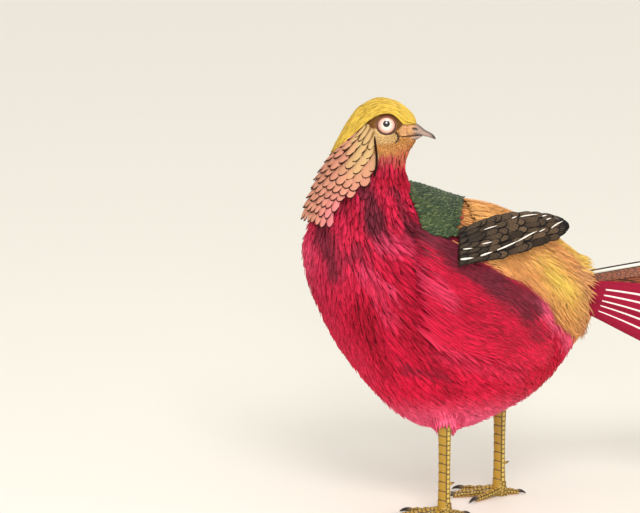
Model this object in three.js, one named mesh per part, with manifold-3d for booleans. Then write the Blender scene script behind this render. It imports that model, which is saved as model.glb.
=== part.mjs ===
// Golden pheasant cock, life size, standing with its head turned back over its left side.
// Millimetres, +Z up. The breast points to -X, the tail to +X, and the bird's left side to -Y.
import * as THREE from "three";
import { mergeVertices } from "three/addons/utils/BufferGeometryUtils.js";
import Module from "manifold-3d";

const wasm = await Module();
wasm.setup();

// Driving dimensions. Heights are above the ground that the toes stand on.
const gap = 0.35; // between pieces that touch
const breastX = -151; // foremost point of the breast
const rumpX = 116; // rearmost point of the rump plumage, before it is cut flat for the tail
const tailRootX = 104; // where the tail's root meets the rump
const headPlace = { x: -77, y: -10, z: 345.5, turn: -12 }; // between the eyes; turn in degrees from +X
const eyeRadius = 9;
const eyeSide = 9.6; // eye centre from the middle of the head
const billTipX = 43; // forward of the eyes
const shankHeight = 84; // heel above the ground
const leftShank = { x: -29, y: -31 };
const rightShank = { x: 38, y: 31 };
const middleToe = 44;
const farWingDrop = 18; // how much lower the right wing's tip lies than the left's

const degrees = THREE.MathUtils.degToRad;
const range = (from, to) => Array.from({ length: to - from + 1 }, (_, i) => from + i);
const lerp = THREE.MathUtils.lerp;
const vec = (x, y, z) => new THREE.Vector3(x, y, z);

// A smooth curve through [place, value] pairs, as a function of the place.
function through(pairs) {
  const slope = (i) => {
    const [a, b] = [pairs[Math.max(i - 1, 0)], pairs[Math.min(i + 1, pairs.length - 1)]];
    return (b[1] - a[1]) / (b[0] - a[0]);
  };
  return (place) => {
    let i = pairs.findIndex((pair) => pair[0] >= place);
    i = THREE.MathUtils.clamp(i < 0 ? pairs.length - 1 : i, 1, pairs.length - 1);
    const [a, b] = [pairs[i - 1], pairs[i]];
    const span = b[0] - a[0];
    const t = THREE.MathUtils.clamp((place - a[0]) / span, 0, 1);
    const bend = t * t * (3 - 2 * t);
    const rise = span * t * (1 - t) * ((1 - t) * slope(i - 1) - t * slope(i));
    return lerp(a[1], b[1], bend) + rise;
  };
}

// Solids: a geometry joined at its seams, turned so that its faces point out.
function volumeOf(geometry) {
  const at = geometry.getAttribute("position");
  const order = geometry.index;
  const corner = (i) => new THREE.Vector3().fromBufferAttribute(at, order.getX(i));
  let sum = 0;
  for (let i = 0; i < order.count; i += 3) sum += corner(i).dot(corner(i + 1).cross(corner(i + 2))) / 6;
  return sum;
}

function closed(geometry) {
  const bare = new THREE.BufferGeometry().setAttribute("position", geometry.getAttribute("position"));
  if (geometry.index) bare.setIndex(geometry.index);
  const joined = mergeVertices(bare, 1e-4);
  const order = joined.index.array;
  if (volumeOf(joined) < 0) {
    for (let i = 0; i < order.length; i += 3) [order[i + 1], order[i + 2]] = [order[i + 2], order[i + 1]];
  }
  return joined;
}

function solid(geometry) {
  const joined = closed(geometry);
  const vertProperties = new Float32Array(joined.getAttribute("position").array);
  return new wasm.Manifold(
    new wasm.Mesh({ numProp: 3, vertProperties, triVerts: new Uint32Array(joined.index.array) }),
  );
}

// The same shape swollen by a small amount all over, to cut a neighbour with room to spare. A vertex
// on a sharp edge moves further, so that the faces beside it move by the whole amount.
function swollen(geometry, amount = gap) {
  const joined = closed(geometry);
  joined.computeVertexNormals();
  const at = joined.getAttribute("position");
  const out = joined.getAttribute("normal");
  const order = joined.index;
  const [point, normal] = [(i) => new THREE.Vector3().fromBufferAttribute(at, i), (i) => new THREE.Vector3().fromBufferAttribute(out, i)];
  const least = new Float32Array(at.count).fill(1);
  for (let i = 0; i < order.count; i += 3) {
    const corners = [order.getX(i), order.getX(i + 1), order.getX(i + 2)];
    const face = new THREE.Triangle(...corners.map(point)).getNormal(vec(0, 0, 0));
    for (const c of corners) least[c] = Math.min(least[c], face.dot(normal(c)));
  }
  for (let i = 0; i < at.count; i++) {
    const moved = point(i).addScaledVector(normal(i), amount / Math.max(least[i], 0.35));
    at.setXYZ(i, moved.x, moved.y, moved.z);
  }
  joined.deleteAttribute("normal");
  return solid(joined);
}

function joinAll(solids) {
  return solids.reduce((sum, one) => sum.add(one));
}

function cutBy(body, cutters) {
  return cutters.reduce((left, one) => left.subtract(one), body);
}

// Keeps the largest closed surface, as a named mesh about its own middle.
function mesh(name, body, look) {
  const parts = body.decompose().sort((a, b) => b.volume() - a.volume());
  const kept = parts[0].getMesh();
  const place = new Float32Array(kept.numVert * 3);
  for (let i = 0; i < kept.numVert; i++) {
    place.set(kept.vertProperties.subarray(i * kept.numProp, i * kept.numProp + 3), i * 3);
  }
  const geometry = new THREE.BufferGeometry();
  geometry.setAttribute("position", new THREE.BufferAttribute(place, 3));
  geometry.setIndex(new THREE.BufferAttribute(new Uint32Array(kept.triVerts), 1));
  geometry.computeBoundingBox();
  const middle = geometry.boundingBox.getCenter(vec(0, 0, 0));
  geometry.translate(-middle.x, -middle.y, -middle.z);
  geometry.computeVertexNormals();
  const made = new THREE.Mesh(geometry, look);
  made.name = name;
  made.position.copy(middle);
  return made;
}

// Moves every vertex of a geometry to the place that a function gives for it.
function reshaped(geometry, place) {
  const at = geometry.getAttribute("position");
  for (let i = 0; i < at.count; i++) {
    const p = place(new THREE.Vector3().fromBufferAttribute(at, i));
    at.setXYZ(i, p.x, p.y, p.z);
  }
  return geometry;
}

// Closes an upper and a lower grid of points into one body. They have as many columns, but the lower
// one may have fewer rows.
function closedGrid(upper, lower) {
  const columns = upper[0].length;
  const order = [];
  const [rows, lows] = [upper.length - 1, lower.length - 1];
  const top = (i, j) => i * columns + j;
  const under = (i, j) => (rows + 1 + i) * columns + j;
  for (let j = 0; j < columns - 1; j++) {
    for (let i = 0; i < rows; i++) {
      order.push(top(i, j), top(i, j + 1), top(i + 1, j + 1), top(i, j), top(i + 1, j + 1), top(i + 1, j));
    }
    for (let i = 0; i < lows; i++) {
      order.push(under(i, j), under(i + 1, j + 1), under(i, j + 1));
      order.push(under(i, j), under(i + 1, j), under(i + 1, j + 1));
    }
    order.push(top(0, j + 1), top(0, j), under(0, j), top(0, j + 1), under(0, j), under(0, j + 1));
    order.push(top(rows, j), top(rows, j + 1), under(lows, j + 1));
    order.push(top(rows, j), under(lows, j + 1), under(lows, j));
  }
  for (const j of [0, columns - 1]) {
    const wall = (a, b, c) => (j ? order.push(b, a, c) : order.push(a, b, c));
    let [i, k] = [0, 0];
    while (i < rows || k < lows) {
      if ((i + 1) / rows <= (k + 1) / lows + 1e-9) wall(top(i, j), top(++i, j), under(k, j));
      else wall(top(i, j), under(k + 1, j), under(k++, j));
    }
  }
  const geometry = new THREE.BufferGeometry();
  const points = [...upper.flat(), ...lower.flat()].flatMap((p) => p.toArray());
  geometry.setAttribute("position", new THREE.Float32BufferAttribute(points, 3));
  return geometry.setIndex(order);
}

// A thin sheet with both faces split alike. place(u, v, side) runs u from root 0 to tip 1, v across
// from -1 to 1, and side is 1 on the upper face and -1 on the lower.
function sheet(lengthSteps, widthSteps, place) {
  const grid = (side) =>
    range(0, lengthSteps).map((i) =>
      range(0, widthSteps).map((j) => place(i / lengthSteps, (2 * j) / widthSteps - 1, side)),
    );
  return closedGrid(grid(1), grid(-1));
}

// Rounded bodies. Each is a surface(along, around): along runs from -1 at the lower X to 1, around is
// 0 on the ridge, and grows towards +Y.
function roundedBody({ from, to, middle, height, width }) {
  const [centre, half] = [(from + to) / 2, (to - from) / 2];
  return (along, around) => {
    const round = Math.sqrt(Math.max(0, 1 - along * along));
    const y = width(along) * round * Math.sin(around);
    return vec(centre + half * along, y, middle(along) + height(along) * round * Math.cos(around));
  };
}

function ballFrom(surface, aroundSteps, alongSteps) {
  return reshaped(new THREE.SphereGeometry(1, aroundSteps, alongSteps), (p) =>
    surface(p.y, Math.atan2(p.x, p.z)),
  );
}

// Point, outward normal and directions on a surface, lifted off it.
function on(surface, a, b, lift) {
  const step = 1e-3;
  const edge = (x) => THREE.MathUtils.clamp(x, -0.995, 0.995);
  const down = surface(edge(a + step), b).sub(surface(edge(a - step), b));
  const across = surface(edge(a), b + step).sub(surface(edge(a), b - step));
  const normal = down.cross(across).normalize();
  return { point: surface(a, b).addScaledVector(normal, lift), normal };
}

// A shell of overlapping feathers in rows on a surface, as one closed body. Each row rises to its
// tips, and the next row starts beneath them. A feather is four steps wide: its edges end sooner and
// lower than its middle, and the rows are set in brick order.
function shingled(surface, { along, around, rows, count, low, high, under, hang = 0.3, scallop = 0.2, square = 0.6 }) {
  const pitch = (along[1] - along[0]) / rows;
  const last = along[1] - hang * pitch;
  const place = (a, column, lift) => {
    const spread = around(a);
    return on(surface, a, lerp(spread[0], spread[1], column / (4 * count)), lift).point;
  };
  const upper = range(0, 3 * rows).map((line) => {
    const row = Math.floor(line / 3);
    const start = along[0] + pitch * row;
    return range(0, 4 * count).map((column) => {
      const full = [0, square, 1, square][(column + 2 * (row % 2)) % 4];
      const rise = high(start) * lerp(0.7, 1, full);
      const root = [start - (row ? hang * pitch : 0), low + 1];
      const middle = [start + 0.45 * pitch, lerp(low, rise, 0.6)];
      const tip = [start + pitch * (1 + scallop * (2 * full - 1)), rise];
      const [a, lift] = [root, middle, tip][line % 3];
      return place(a, column, lift);
    });
  });
  const stations = [along[0], ...under.filter((a) => a > along[0] + 0.02 && a < last - 0.02), last];
  const lower = stations.map((a) => range(0, 4 * count).map((column) => place(a, column, low)));
  return closedGrid(upper, lower);
}

const lanceTip = through([[0, 0.6], [0.35, 1], [0.7, 0.8], [1, 0.14]]);

// A feather's vane on a surface, from its root to its tip. half is half its width and lift its height
// over the surface at both ends. It is thickest along its shaft, and thins to its edges and tip.
function vaneOn(surface, { root, tip, half, lift, thick = 1.3, steps, outline }) {
  return sheet(steps[0], steps[1], (u, v, side) => {
    const [a, b] = [lerp(root[0], tip[0], u), lerp(root[1], tip[1], u)];
    const turn = surface(a, b + 1e-3).distanceTo(surface(a, b - 1e-3)) / 2e-3;
    const body = (thick / 2) * (1 - 0.45 * Math.abs(v)) * (1 - 0.3 * u);
    const height = lerp(lift[0], lift[1], u) + side * body;
    return on(surface, a, b + (v * half * outline(u)) / turn, height).point;
  });
}

const swollenAll = (pieces, amount = gap) => joinAll(pieces.map((piece) => swollen(piece, amount)));

// Body.
const bodySurface = roundedBody({
  from: breastX,
  to: rumpX,
  middle: through([[-1, 236], [-0.8, 216], [-0.6, 203], [-0.33, 187], [0, 174], [0.35, 174], [0.6, 175.5], [0.83, 181], [1, 184]]),
  height: through([[-1, 88], [-0.6, 104], [-0.33, 109.5], [0, 103], [0.35, 94], [0.6, 88], [0.83, 73.5], [1, 70]]),
  width: through([[-1, 64], [-0.5, 70], [0, 70], [0.5, 62], [1, 50]]),
});
const bodyAround = 24;
const bodyAlong = 16;
const bodyBall = () => ballFrom(bodySurface, bodyAround, bodyAlong);
const bodyRows = (from, to) => range(from, to).map((i) => -Math.cos((Math.PI * i) / bodyAlong));

// The rump is parted from the breast and belly by a slanting cut behind the back.
const rumpCut = { distance: 148.6, slant: 33.7 };

function beyondRumpCut(shift) {
  const box = new THREE.BoxGeometry(800, 800, 800).translate(400 + rumpCut.distance + shift, 0, 0);
  return solid(box.rotateY(-degrees(rumpCut.slant)));
}

const behindTailRoot = (x) => solid(new THREE.BoxGeometry(200, 200, 300).translate(x + 100, 0, 180));

// Neck: level ellipses from inside the head down into the breast. Its surface runs from 1 at the foot
// to -1 under the head, and around is 0 at the nape, growing towards the bird's left.
const neckTop = 342;
const neckFoot = 226;
const neckMiddleX = through([[226, -91], [264, -93.5], [285, -94], [307, -92], [323, -87], [342, -82]]);
const neckMiddleY = through([[226, 0], [285, -3], [342, -10]]);
const neckLength = through([[226, 50], [264, 49.5], [285, 41.5], [307, 33], [323, 28], [342, 19]]);
const neckWidth = through([[226, 47], [264, 43], [285, 34], [307, 27], [323, 22.5], [342, 16]]);

function neckSurface(down, around) {
  const z = lerp(neckTop, neckFoot, (down + 1) / 2);
  const x = neckMiddleX(z) - neckLength(z) * Math.cos(around);
  return vec(x, neckMiddleY(z) - neckWidth(z) * Math.sin(around), z);
}

const neckAround = 16;
const neckAlong = 7;
const neckRows = (from, to) => range(from, to).map((i) => -1 + (2 * i) / neckAlong);
const neckTube = () =>
  reshaped(new THREE.CylinderGeometry(1, 1, 2, neckAround, neckAlong), (p) =>
    Math.hypot(p.x, p.z) < 0.5 ? vec(neckMiddleX(neckTop), neckMiddleY(neckTop), p.y > 0 ? neckTop : neckFoot)
      : neckSurface(-p.y, Math.atan2(p.x, p.z)),
  );

// Head, in its own frame: forward is +X, and the left eye is on the +Y side.
const headFrame = new THREE.Matrix4()
  .makeTranslation(headPlace.x, headPlace.y, headPlace.z)
  .multiply(new THREE.Matrix4().makeRotationZ(degrees(headPlace.turn)));
const headSurface = roundedBody({
  from: -27,
  to: 27,
  middle: through([[-1, 0], [-0.74, -3.5], [0, -3], [0.37, -3.6], [0.74, -4.7], [1, -5]]),
  height: through([[-1, 25], [-0.74, 24], [0, 21.7], [0.37, 19.8], [0.74, 18.3], [1, 17]]),
  width: through([[-1, 17], [-0.5, 18.5], [0, 16.8], [0.37, 15.2], [0.74, 13.2], [1, 12.5]]),
});
const headAround = 18;
const headAlong = 12;
const headBall = () => ballFrom(headSurface, headAround, headAlong);
const inHead = (geometry) => geometry.applyMatrix4(headFrame);

const colours = {
  ochre: [0x9a6a2c, 0.85],
  horn: [0xc9a98f, 0.45],
  iris: [0xf2dcd2, 0.15],
  yellow: [0xeccb4c, 0.6],
  salmon: [0xe59a72, 0.65],
  rust: [0xb8433a, 0.75],
  crimson: [0xc01f3c, 0.7],
  green: [0x3c6b3c, 0.55],
  golden: [0xe6a843, 0.6],
  maroon: [0x6d2534, 0.7],
  umber: [0x3a322c, 0.6],
  scarlet: [0xc91f3a, 0.6],
  chestnut: [0xb5714e, 0.65],
  legs: [0xd9ac3a, 0.6],
  claws: [0x4a4036, 0.45],
};

function look(name) {
  const [color, roughness] = colours[name];
  return new THREE.MeshStandardMaterial({ name, color, roughness, metalness: 0 });
}

function makeTorso() {
  return mesh("torso", cutBy(solid(bodyBall()), [beyondRumpCut(-gap / 2)]), look("crimson"));
}

// Eyelid: a ring round the eye.
function lid(side) {
  const ring = new THREE.TorusGeometry(7.4, 1.15, 5, 12).rotateX(Math.PI / 2);
  return inHead(ring.translate(0, side * 15.3, 0));
}

function makeNeck() {
  const cutters = [swollen(bodyBall()), swollen(inHead(headBall())), swollen(lid(1)), swollen(lid(-1))];
  return mesh("neck", cutBy(solid(neckTube()), cutters), look("rust"));
}

function makeHead() {
  const parts = [solid(inHead(headBall()))];
  const sockets = [];
  for (const side of [-1, 1]) {
    const hollow = new THREE.SphereGeometry(1, 12, 6).rotateX(Math.PI / 2).scale(9.5, 3, 9.5).translate(0, side * 18.2, 0);
    sockets.push(solid(inHead(hollow)));
  }
  const eyes = [-1, 1].map((side) => {
    const ball = new THREE.SphereGeometry(eyeRadius + gap, 12, 8).rotateX(Math.PI / 2);
    return solid(inHead(ball.translate(0, side * eyeSide, 0)));
  });
  const skull = joinAll([cutBy(parts[0], sockets), solid(lid(1)), solid(lid(-1))]);
  return mesh("head", cutBy(skull, eyes), look("ochre"));
}

function makeEyes() {
  return [["eye_left", 1], ["eye_right", -1]].map(([name, side]) => {
    const ball = new THREE.SphereGeometry(eyeRadius, 12, 8).rotateX(Math.PI / 2);
    return mesh(name, solid(inHead(ball.translate(0, side * eyeSide, 0))), look("iris"));
  });
}

// Bill: each half is a tapering body from inside the face to its tip.
const gapeZ = through([[8, -8.6], [20, -8.2], [32, -7.2], [43, -10.4]]);
const culmenZ = through([[8, 9], [20, 5.6], [28, 1.6], [36, -2.6], [41, -6.4], [43, -10]]);
const billWidth = through([[8, 8.5], [20, 6.8], [30, 4.4], [38, 2.4], [43, 0.5]]);
const chinZ = through([[8, -15], [20, -13.2], [28, -11.6], [36, -9.2]]);

function billPart(from, to, upperZ, lowerZ, steps) {
  return reshaped(new THREE.CylinderGeometry(1, 1, 1, 10, steps), (p) => {
    const x = lerp(from, to, p.y + 0.5);
    const [top, bottom] = [upperZ(x), lowerZ(x)];
    return vec(x, billWidth(x) * p.x, (top + bottom) / 2 + ((top - bottom) / 2) * p.z);
  });
}

const upperBill = () => inHead(billPart(8, billTipX, culmenZ, (x) => gapeZ(x) + gap / 2, 7));
const lowerBill = () => inHead(billPart(8, 36, (x) => gapeZ(x) - gap, chinZ, 5));

function makeBill() {
  const face = swollen(inHead(headBall()));
  const nostrils = [-1, 1].map((side) => {
    const slot = new THREE.SphereGeometry(1, 8, 6).scale(2.6, 1.4, 1.1).rotateY(degrees(20));
    return solid(inHead(slot.translate(27.5, side * 4.9, -2.6)));
  });
  return [
    mesh("bill_upper", cutBy(solid(upperBill()), [face, ...nostrils]), look("horn")),
    mesh("bill_lower", cutBy(solid(lowerBill()), [face]), look("horn")),
  ];
}

// Crest: its upper outline in the head's frame, from the bill's base over the crown to the nape.
const crestLine = new THREE.CatmullRomCurve3(
  [[27, 3], [21.5, 12.5], [12, 19], [-4, 22.8], [-17, 18.8], [-26, 10.5], [-34, -1], [-41, -14], [-46, -26]].map(
    ([x, z]) => vec(x, 0, z),
  ),
);
const crestWidth = through([[-1, 9], [-0.5, 19], [0, 21.5], [0.5, 15], [1, 8]]);
const crestRise = through([[-1, 8], [-0.5, 18], [0, 19], [1, 9]]);

function crestSurface(along, around) {
  const u = THREE.MathUtils.clamp((along + 1) / 2, 0, 1);
  const run = crestLine.getTangentAt(u);
  const back = crestRise(along) * (1 - Math.cos(around));
  const top = crestLine.getPointAt(u).addScaledVector(vec(-run.z, 0, run.x), back);
  return top.add(vec(0, -crestWidth(along) * Math.sin(around), 0)).applyMatrix4(headFrame);
}

const headInPlace = (along, around) => headSurface(along, around).applyMatrix4(headFrame);

// Long silky locks lie side by side from the bill's base over the crown, and end one behind another on
// the nape. They are ridges of one body. Its underside has the head's own rows, and behind the head it
// thins towards the tip of each lock.
const crestLocks = 9;
const crestSpread = through([[-1, 74], [-0.5, 66], [0, 62], [1, 58]]);
const headSpread = degrees(60); // how far round the head the crest's root reaches

function crestShell() {
  const columns = range(0, 2 * crestLocks);
  const turn = (column) => column / crestLocks - 1;
  const isRidge = (column) => column % 2 === 1;
  const end = (column) => {
    const lock = Math.abs(turn(column)) * (crestLocks / 2);
    return isRidge(column) ? 0.9 - 0.05 * lock - 0.1 * (lock % 2) : 0.5 - 0.04 * lock;
  };
  const over = (along, column, lift) => on(crestSurface, along, degrees(crestSpread(along)) * turn(column), lift).point;
  const upper = range(0, 8).map((i) =>
    columns.map((column) => {
      const along = lerp(-1, end(column), i / 8);
      return over(along, column, isRidge(column) ? 0 : -1.5 * Math.min(1, 2 + 2 * along));
    }),
  );
  const onHead = range(2, headAlong - 2).map((i) => {
    const along = Math.cos((Math.PI * i) / headAlong);
    return columns.map((column) => on(headInPlace, along, -headSpread * turn(column), gap + 0.1).point);
  });
  const free = [[0.45, -4.5], [0.75, -3], [1, -1]].map(([share, lift]) =>
    columns.map((column) => over(lerp(0.42, end(column), share), column, lift - (isRidge(column) ? 0 : 1.2))),
  );
  return closedGrid(upper, [...onHead, ...free]);
}

function makeCrest() {
  const cutters = [swollen(inHead(headBall())), swollen(neckTube()), swollen(upperBill()), swollen(lid(1)), swollen(lid(-1))];
  return mesh("crest", cutBy(solid(crestShell()), cutters), look("yellow"));
}

// Cape: rows of broad square-ended feathers down the nape, wide at the top and narrower below.
const capeSpread = through([[-1, 92], [-0.57, 86], [-0.17, 78], [0.2, 62], [0.45, 52]]);

function capeShell() {
  return shingled(neckSurface, {
    along: [-0.9, 0.46],
    around: (a) => [-degrees(capeSpread(a)), degrees(capeSpread(a))],
    rows: 7,
    count: 6,
    low: gap + 0.1,
    high: (a) => (a < -0.8 ? 4 : a < -0.5 ? 5.5 : 7.4),
    under: neckRows(0, neckAlong),
    square: 0.9,
  });
}

function makeCape() {
  const cutters = [swollen(neckTube()), swollen(bodyBall()), swollen(inHead(headBall())), swollen(crestShell())];
  return mesh("cape", cutBy(solid(capeShell()), cutters), look("salmon"));
}

// Mantle: short rounded feathers like scales over the upper back.
function mantleShell() {
  return shingled(bodySurface, {
    along: [-0.29, 0.08],
    around: () => [-degrees(42), degrees(42)],
    rows: 4,
    count: 6,
    low: gap + 0.1,
    high: () => 4.2,
    under: bodyRows(0, bodyAlong),
  });
}

function makeMantle() {
  return mesh("mantle", cutBy(solid(mantleShell()), [swollen(bodyBall()), swollen(neckTube())]), look("green"));
}

// A piece of the left side, or its mirror image on the right.
const onSide = (geometry, side) => geometry.scale(1, side, 1);

// Shoulder: larger rounded feathers on the side of the body, round the root of the wing.
function shoulderShell(side) {
  const shell = shingled(bodySurface, {
    along: [-0.24, 0.5],
    around: (a) => [-degrees(96 + 10 * a), -degrees(62 + 8 * a)],
    rows: 4,
    count: 3,
    low: gap + 0.1,
    high: () => 4,
    under: bodyRows(0, bodyAlong),
  });
  return onSide(shell, side);
}

function makeShoulder(name, side) {
  return mesh(name, cutBy(solid(shoulderShell(side)), [swollen(bodyBall())]), look("maroon"));
}

// Wing: a middle line from the shoulder to the tip, and the half width across it.
const wingHalf = through([[-1, 13], [-0.7, 15], [0, 16], [0.5, 13], [1, 4]]);
const wingOut = vec(0, -0.87, 0.5);

function wingSurfaceFor(tipDrop) {
  const stations = [[-22, -67, 241], [-6, -64, 245.5], [14, -57, 249.5], [38, -46, 253], [61, -35, 254.5], [83, -27, 254]];
  const line = new THREE.CatmullRomCurve3(
    stations.map(([x, y, z]) => {
      const drop = tipDrop * THREE.MathUtils.smoothstep(x, -20, 80);
      return vec(x, y - 0.4 * drop, z - drop);
    }),
  );
  return (along, upward) => {
    const u = THREE.MathUtils.clamp((along + 1) / 2, 0, 1);
    const up = wingOut.clone().cross(line.getTangentAt(u)).normalize();
    const point = line.getPointAt(u).addScaledVector(up, upward * wingHalf(along));
    return point.addScaledVector(wingOut, -2.2 * upward * upward);
  };
}

// Long blades run to the tip, stacked from the lower edge up, with rows of small coverts on the front.
function wingPieces(tipDrop) {
  const surface = wingSurfaceFor(tipDrop);
  const core = sheet(3, 2, (u, v, side) => on(surface, lerp(-1, 0.7, u), v * 0.9, side > 0 ? 0.9 : -1.6 * (1 - 0.5 * v * v)).point);
  const blades = range(0, 5).map((i) =>
    vaneOn(surface, {
      root: [-0.2 + 0.02 * i, lerp(-0.72, 0.62, i / 5)],
      tip: [0.6 + 0.075 * i, lerp(-0.75, 0.45, i / 5)],
      half: 4.4,
      lift: [0.2 + 0.1 * i, 0.2 + 0.36 * i],
      steps: [3, 1],
      outline: through([[0, 0.8], [0.5, 1], [0.85, 0.9], [1, 0.4]]),
    }),
  );
  const coverts = shingled(surface, {
    along: [-1, 0],
    around: () => [-0.94, 0.94],
    rows: 3,
    count: 4,
    low: 0,
    high: () => 3,
    under: [],
  });
  const joint = new THREE.SphereGeometry(1, 10, 6).scale(9, 9, 6).translate(-17, -56, 243);
  return [core, ...blades, coverts, joint];
}

function makeWing(name, side, tipDrop) {
  const pieces = wingPieces(tipDrop).map((piece) => solid(onSide(piece, side)));
  return mesh(name, cutBy(joinAll(pieces), [swollen(bodyBall())]), look("umber"));
}

// Tail: a line seen from the side. The feathers lie on it like the two slopes of a roof, each pair
// under the last, a little shorter and further out.
const tailLine = new THREE.CatmullRomCurve3(
  [[104.9, 205], [180, 214.5], [270, 221], [420, 223], [600, 205], [760, 165]].map(([x, z]) => vec(x, 0, z)),
);
const tailShares = [1, 0.9, 0.7, 0.52, 0.38, 0.27];
const tailWidths = [20, 18, 16, 14, 12, 10]; // of each feather's outer vane
const roofSlope = degrees(24);
const tailOutline = through([[0, 0.5], [0.18, 0.95], [0.45, 1], [0.8, 0.72], [1, 0.1]]);

function tailFeather(side, pair) {
  const share = tailShares[pair];
  return sheet(pair > 2 ? 5 : 8, 2, (u, v, face) => {
    const at = Math.min(1, u * share);
    const run = tailLine.getTangentAt(at);
    const up = vec(-run.z, 0, run.x);
    const outward = vec(0, side * Math.cos(roofSlope), 0).addScaledVector(up, -Math.sin(roofSlope));
    const lift = vec(0, side * Math.sin(roofSlope), 0).addScaledVector(up, Math.cos(roofSlope));
    const shaft = 2 + 1.8 * pair + u * share * (3 + 7 * pair);
    const inner = Math.min(8, shaft - 0.6 - 0.85 * pair + (pair ? 0 : 0.9));
    const half = tailOutline(u) * (v > 0 ? tailWidths[pair] : inner);
    const body = face * lerp(0.8, 0.5, Math.abs(v)) * lerp(1, 0.6, u);
    const height = (1 - Math.abs(v)) * 0.9 + body - 2 * pair;
    return tailLine.getPointAt(at).addScaledVector(outward, shaft + v * half).addScaledVector(lift, height);
  });
}

function tailPieces() {
  const core = reshaped(new THREE.CylinderGeometry(1, 1, 1, 12, 2), (p) => {
    const u = p.y + 0.5;
    return vec(lerp(tailRootX + gap, 134, u), p.x * lerp(12, 13, u), 198 + u * 4 + p.z * lerp(9, 6, u));
  });
  const feathers = tailShares.flatMap((_, pair) => [tailFeather(1, pair), tailFeather(-1, pair)]);
  return [core, ...feathers];
}

function makeTail() {
  return mesh("tail", joinAll(tailPieces().map(solid)), look("chestnut"));
}

// Coverts: narrow blades in a fan under the tail on each side, hanging down behind the rump.
function covertPieces() {
  const core = reshaped(new THREE.CylinderGeometry(1, 1, 1, 10, 2), (p) => {
    const u = p.y + 0.5;
    return vec(lerp(tailRootX + gap, 124, u), -17.2 - 2 * u + p.x * lerp(3.8, 2.4, u), 184 - 3 * u + p.z * lerp(13, 11, u));
  });
  const blades = range(0, 6).map((i) => {
    const down = degrees(9 + 2.4 * i);
    const length = 190 - 13 * i;
    return sheet(4, 2, (u, v, face) => {
      const s = u * length;
      const x = tailRootX + 1 + 5 * Math.sin(down) + s * Math.cos(down);
      const z = 193 - 3.4 * i - s * Math.sin(down) - (s * s) / 1100;
      const y = -18.4 + 0.4 * i - s * (0.13 - 0.009 * i);
      const across = v * 6.8 * lanceTip(u);
      const out = face * lerp(0.75, 0.5, Math.abs(v)) * lerp(1, 0.6, u) + 0.7 * (1 - Math.abs(v));
      return vec(x - across * Math.sin(down), y - out - 0.25 * across, z + across * Math.cos(down) * 0.97);
    });
  });
  return [core, ...blades];
}

function makeCoverts(name, side) {
  const pieces = covertPieces().map((piece) => solid(onSide(piece, side)));
  return mesh(name, cutBy(joinAll(pieces), [swollenAll(tailPieces())]), look("scarlet"));
}

// Rump plumage hangs in locks over the roots of the tail. This surface follows the body, then goes on
// back past the place where the rump is cut.
const rumpFront = -30;
const rumpBack = 124;
const rumpBend = 96; // from here on the locks lie along the tail

function rumpSurface(along, around) {
  const x = lerp(rumpFront, rumpBack, (along + 1) / 2);
  const beyond = Math.max(0, x - rumpBend) / 100;
  const point = bodySurface((2 * (Math.min(x, rumpBend) - breastX)) / (rumpX - breastX) - 1, around);
  return vec(x, point.y * (1 - beyond), lerp(point.z, 186, beyond));
}

const rumpSpread = through([[-0.66, 50], [-0.3, 54], [0, 58], [0.2, 80], [0.6, 112], [0.94, 127]]);

function rumpShell() {
  return shingled(rumpSurface, {
    along: [-0.66, 0.84],
    around: (a) => [-degrees(rumpSpread(a)), degrees(rumpSpread(a))],
    rows: 5,
    count: 5,
    low: gap + 0.5,
    high: () => 4.4,
    under: range(1, 7).map((i) => -0.66 + 0.2 * i),
    hang: 0.2,
    scallop: 0.18,
    square: 0.45,
  });
}

function makeRump() {
  const kept = cutBy(solid(bodyBall()).intersect(beyondRumpCut(gap / 2)), [behindTailRoot(tailRootX)]);
  const locks = cutBy(solid(rumpShell()), [swollen(bodyBall()), swollen(mantleShell())]);
  return [mesh("rump", kept, look("golden")), mesh("rump_locks", locks, look("golden"))];
}

// Legs stand upright: large plates down the front of the shank, one row a step.
const ankle = 11;
const scutes = 10;

function shankRadius(z) {
  return through([[ankle, 4.7], [30, 4.2], [60, 4.3], [84, 5], [110, 7]])(z);
}

function shank(at) {
  const rows = scutes * 2;
  return reshaped(new THREE.CylinderGeometry(1, 1, 1, 8, rows + 1), (p) => {
    const row = Math.round((p.y + 0.5) * (rows + 1));
    const high = shankHeight - 2;
    const z = row > rows ? 112 : lerp(ankle + gap, high, row / rows);
    const plate = row % 2 ? 0.35 : 0;
    const front = Math.max(0, -p.x) * plate;
    const r = shankRadius(z);
    return vec(at.x + p.x * (r + front), at.y + p.z * r * 0.8, z);
  });
}

function makeLeg(name, at) {
  const spur = new THREE.ConeGeometry(2.4, 9, 6).rotateZ(-degrees(78)).translate(at.x + 6.5, at.y, 30);
  const leg = solid(shank(at)).add(solid(spur));
  return mesh(name, cutBy(leg, [swollen(bodyBall())]), look("legs"));
}

// Toes: name, heading in degrees from straight ahead towards the bird's left, length, thickness.
const toes = [
  ["middle", 0, middleToe, 4.2],
  ["inner", 34, 33, 3.8],
  ["outer", -36, 37, 3.7],
  ["back", 180, 17, 3.2],
];

// Runs a toe's length: u from 0 at the ankle to 1 at the claw.
function toePoint(at, heading, reach, across, z) {
  const turn = degrees(180 + heading);
  return vec(at.x + reach * Math.cos(turn) - across * Math.sin(turn), at.y + reach * Math.sin(turn) + across * Math.cos(turn), z);
}

function toe(at, heading, [, , length, thick], name) {
  const rings = name === "back" ? 4 : 6;
  return reshaped(new THREE.CylinderGeometry(1, 1, 1, 8, rings).rotateY(Math.PI / 8), (p) => {
    const u = p.y + 0.5;
    const pad = Math.round(u * rings) % 2 ? 1.06 : 0.95;
    const r = thick * lerp(1.08, 0.66, u) * pad;
    const z = r * 0.9 + r * p.x + 3 * (1 - u) ** 3;
    return toePoint(at, heading, length * u, -p.z * r, Math.max(0, z));
  });
}

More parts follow.
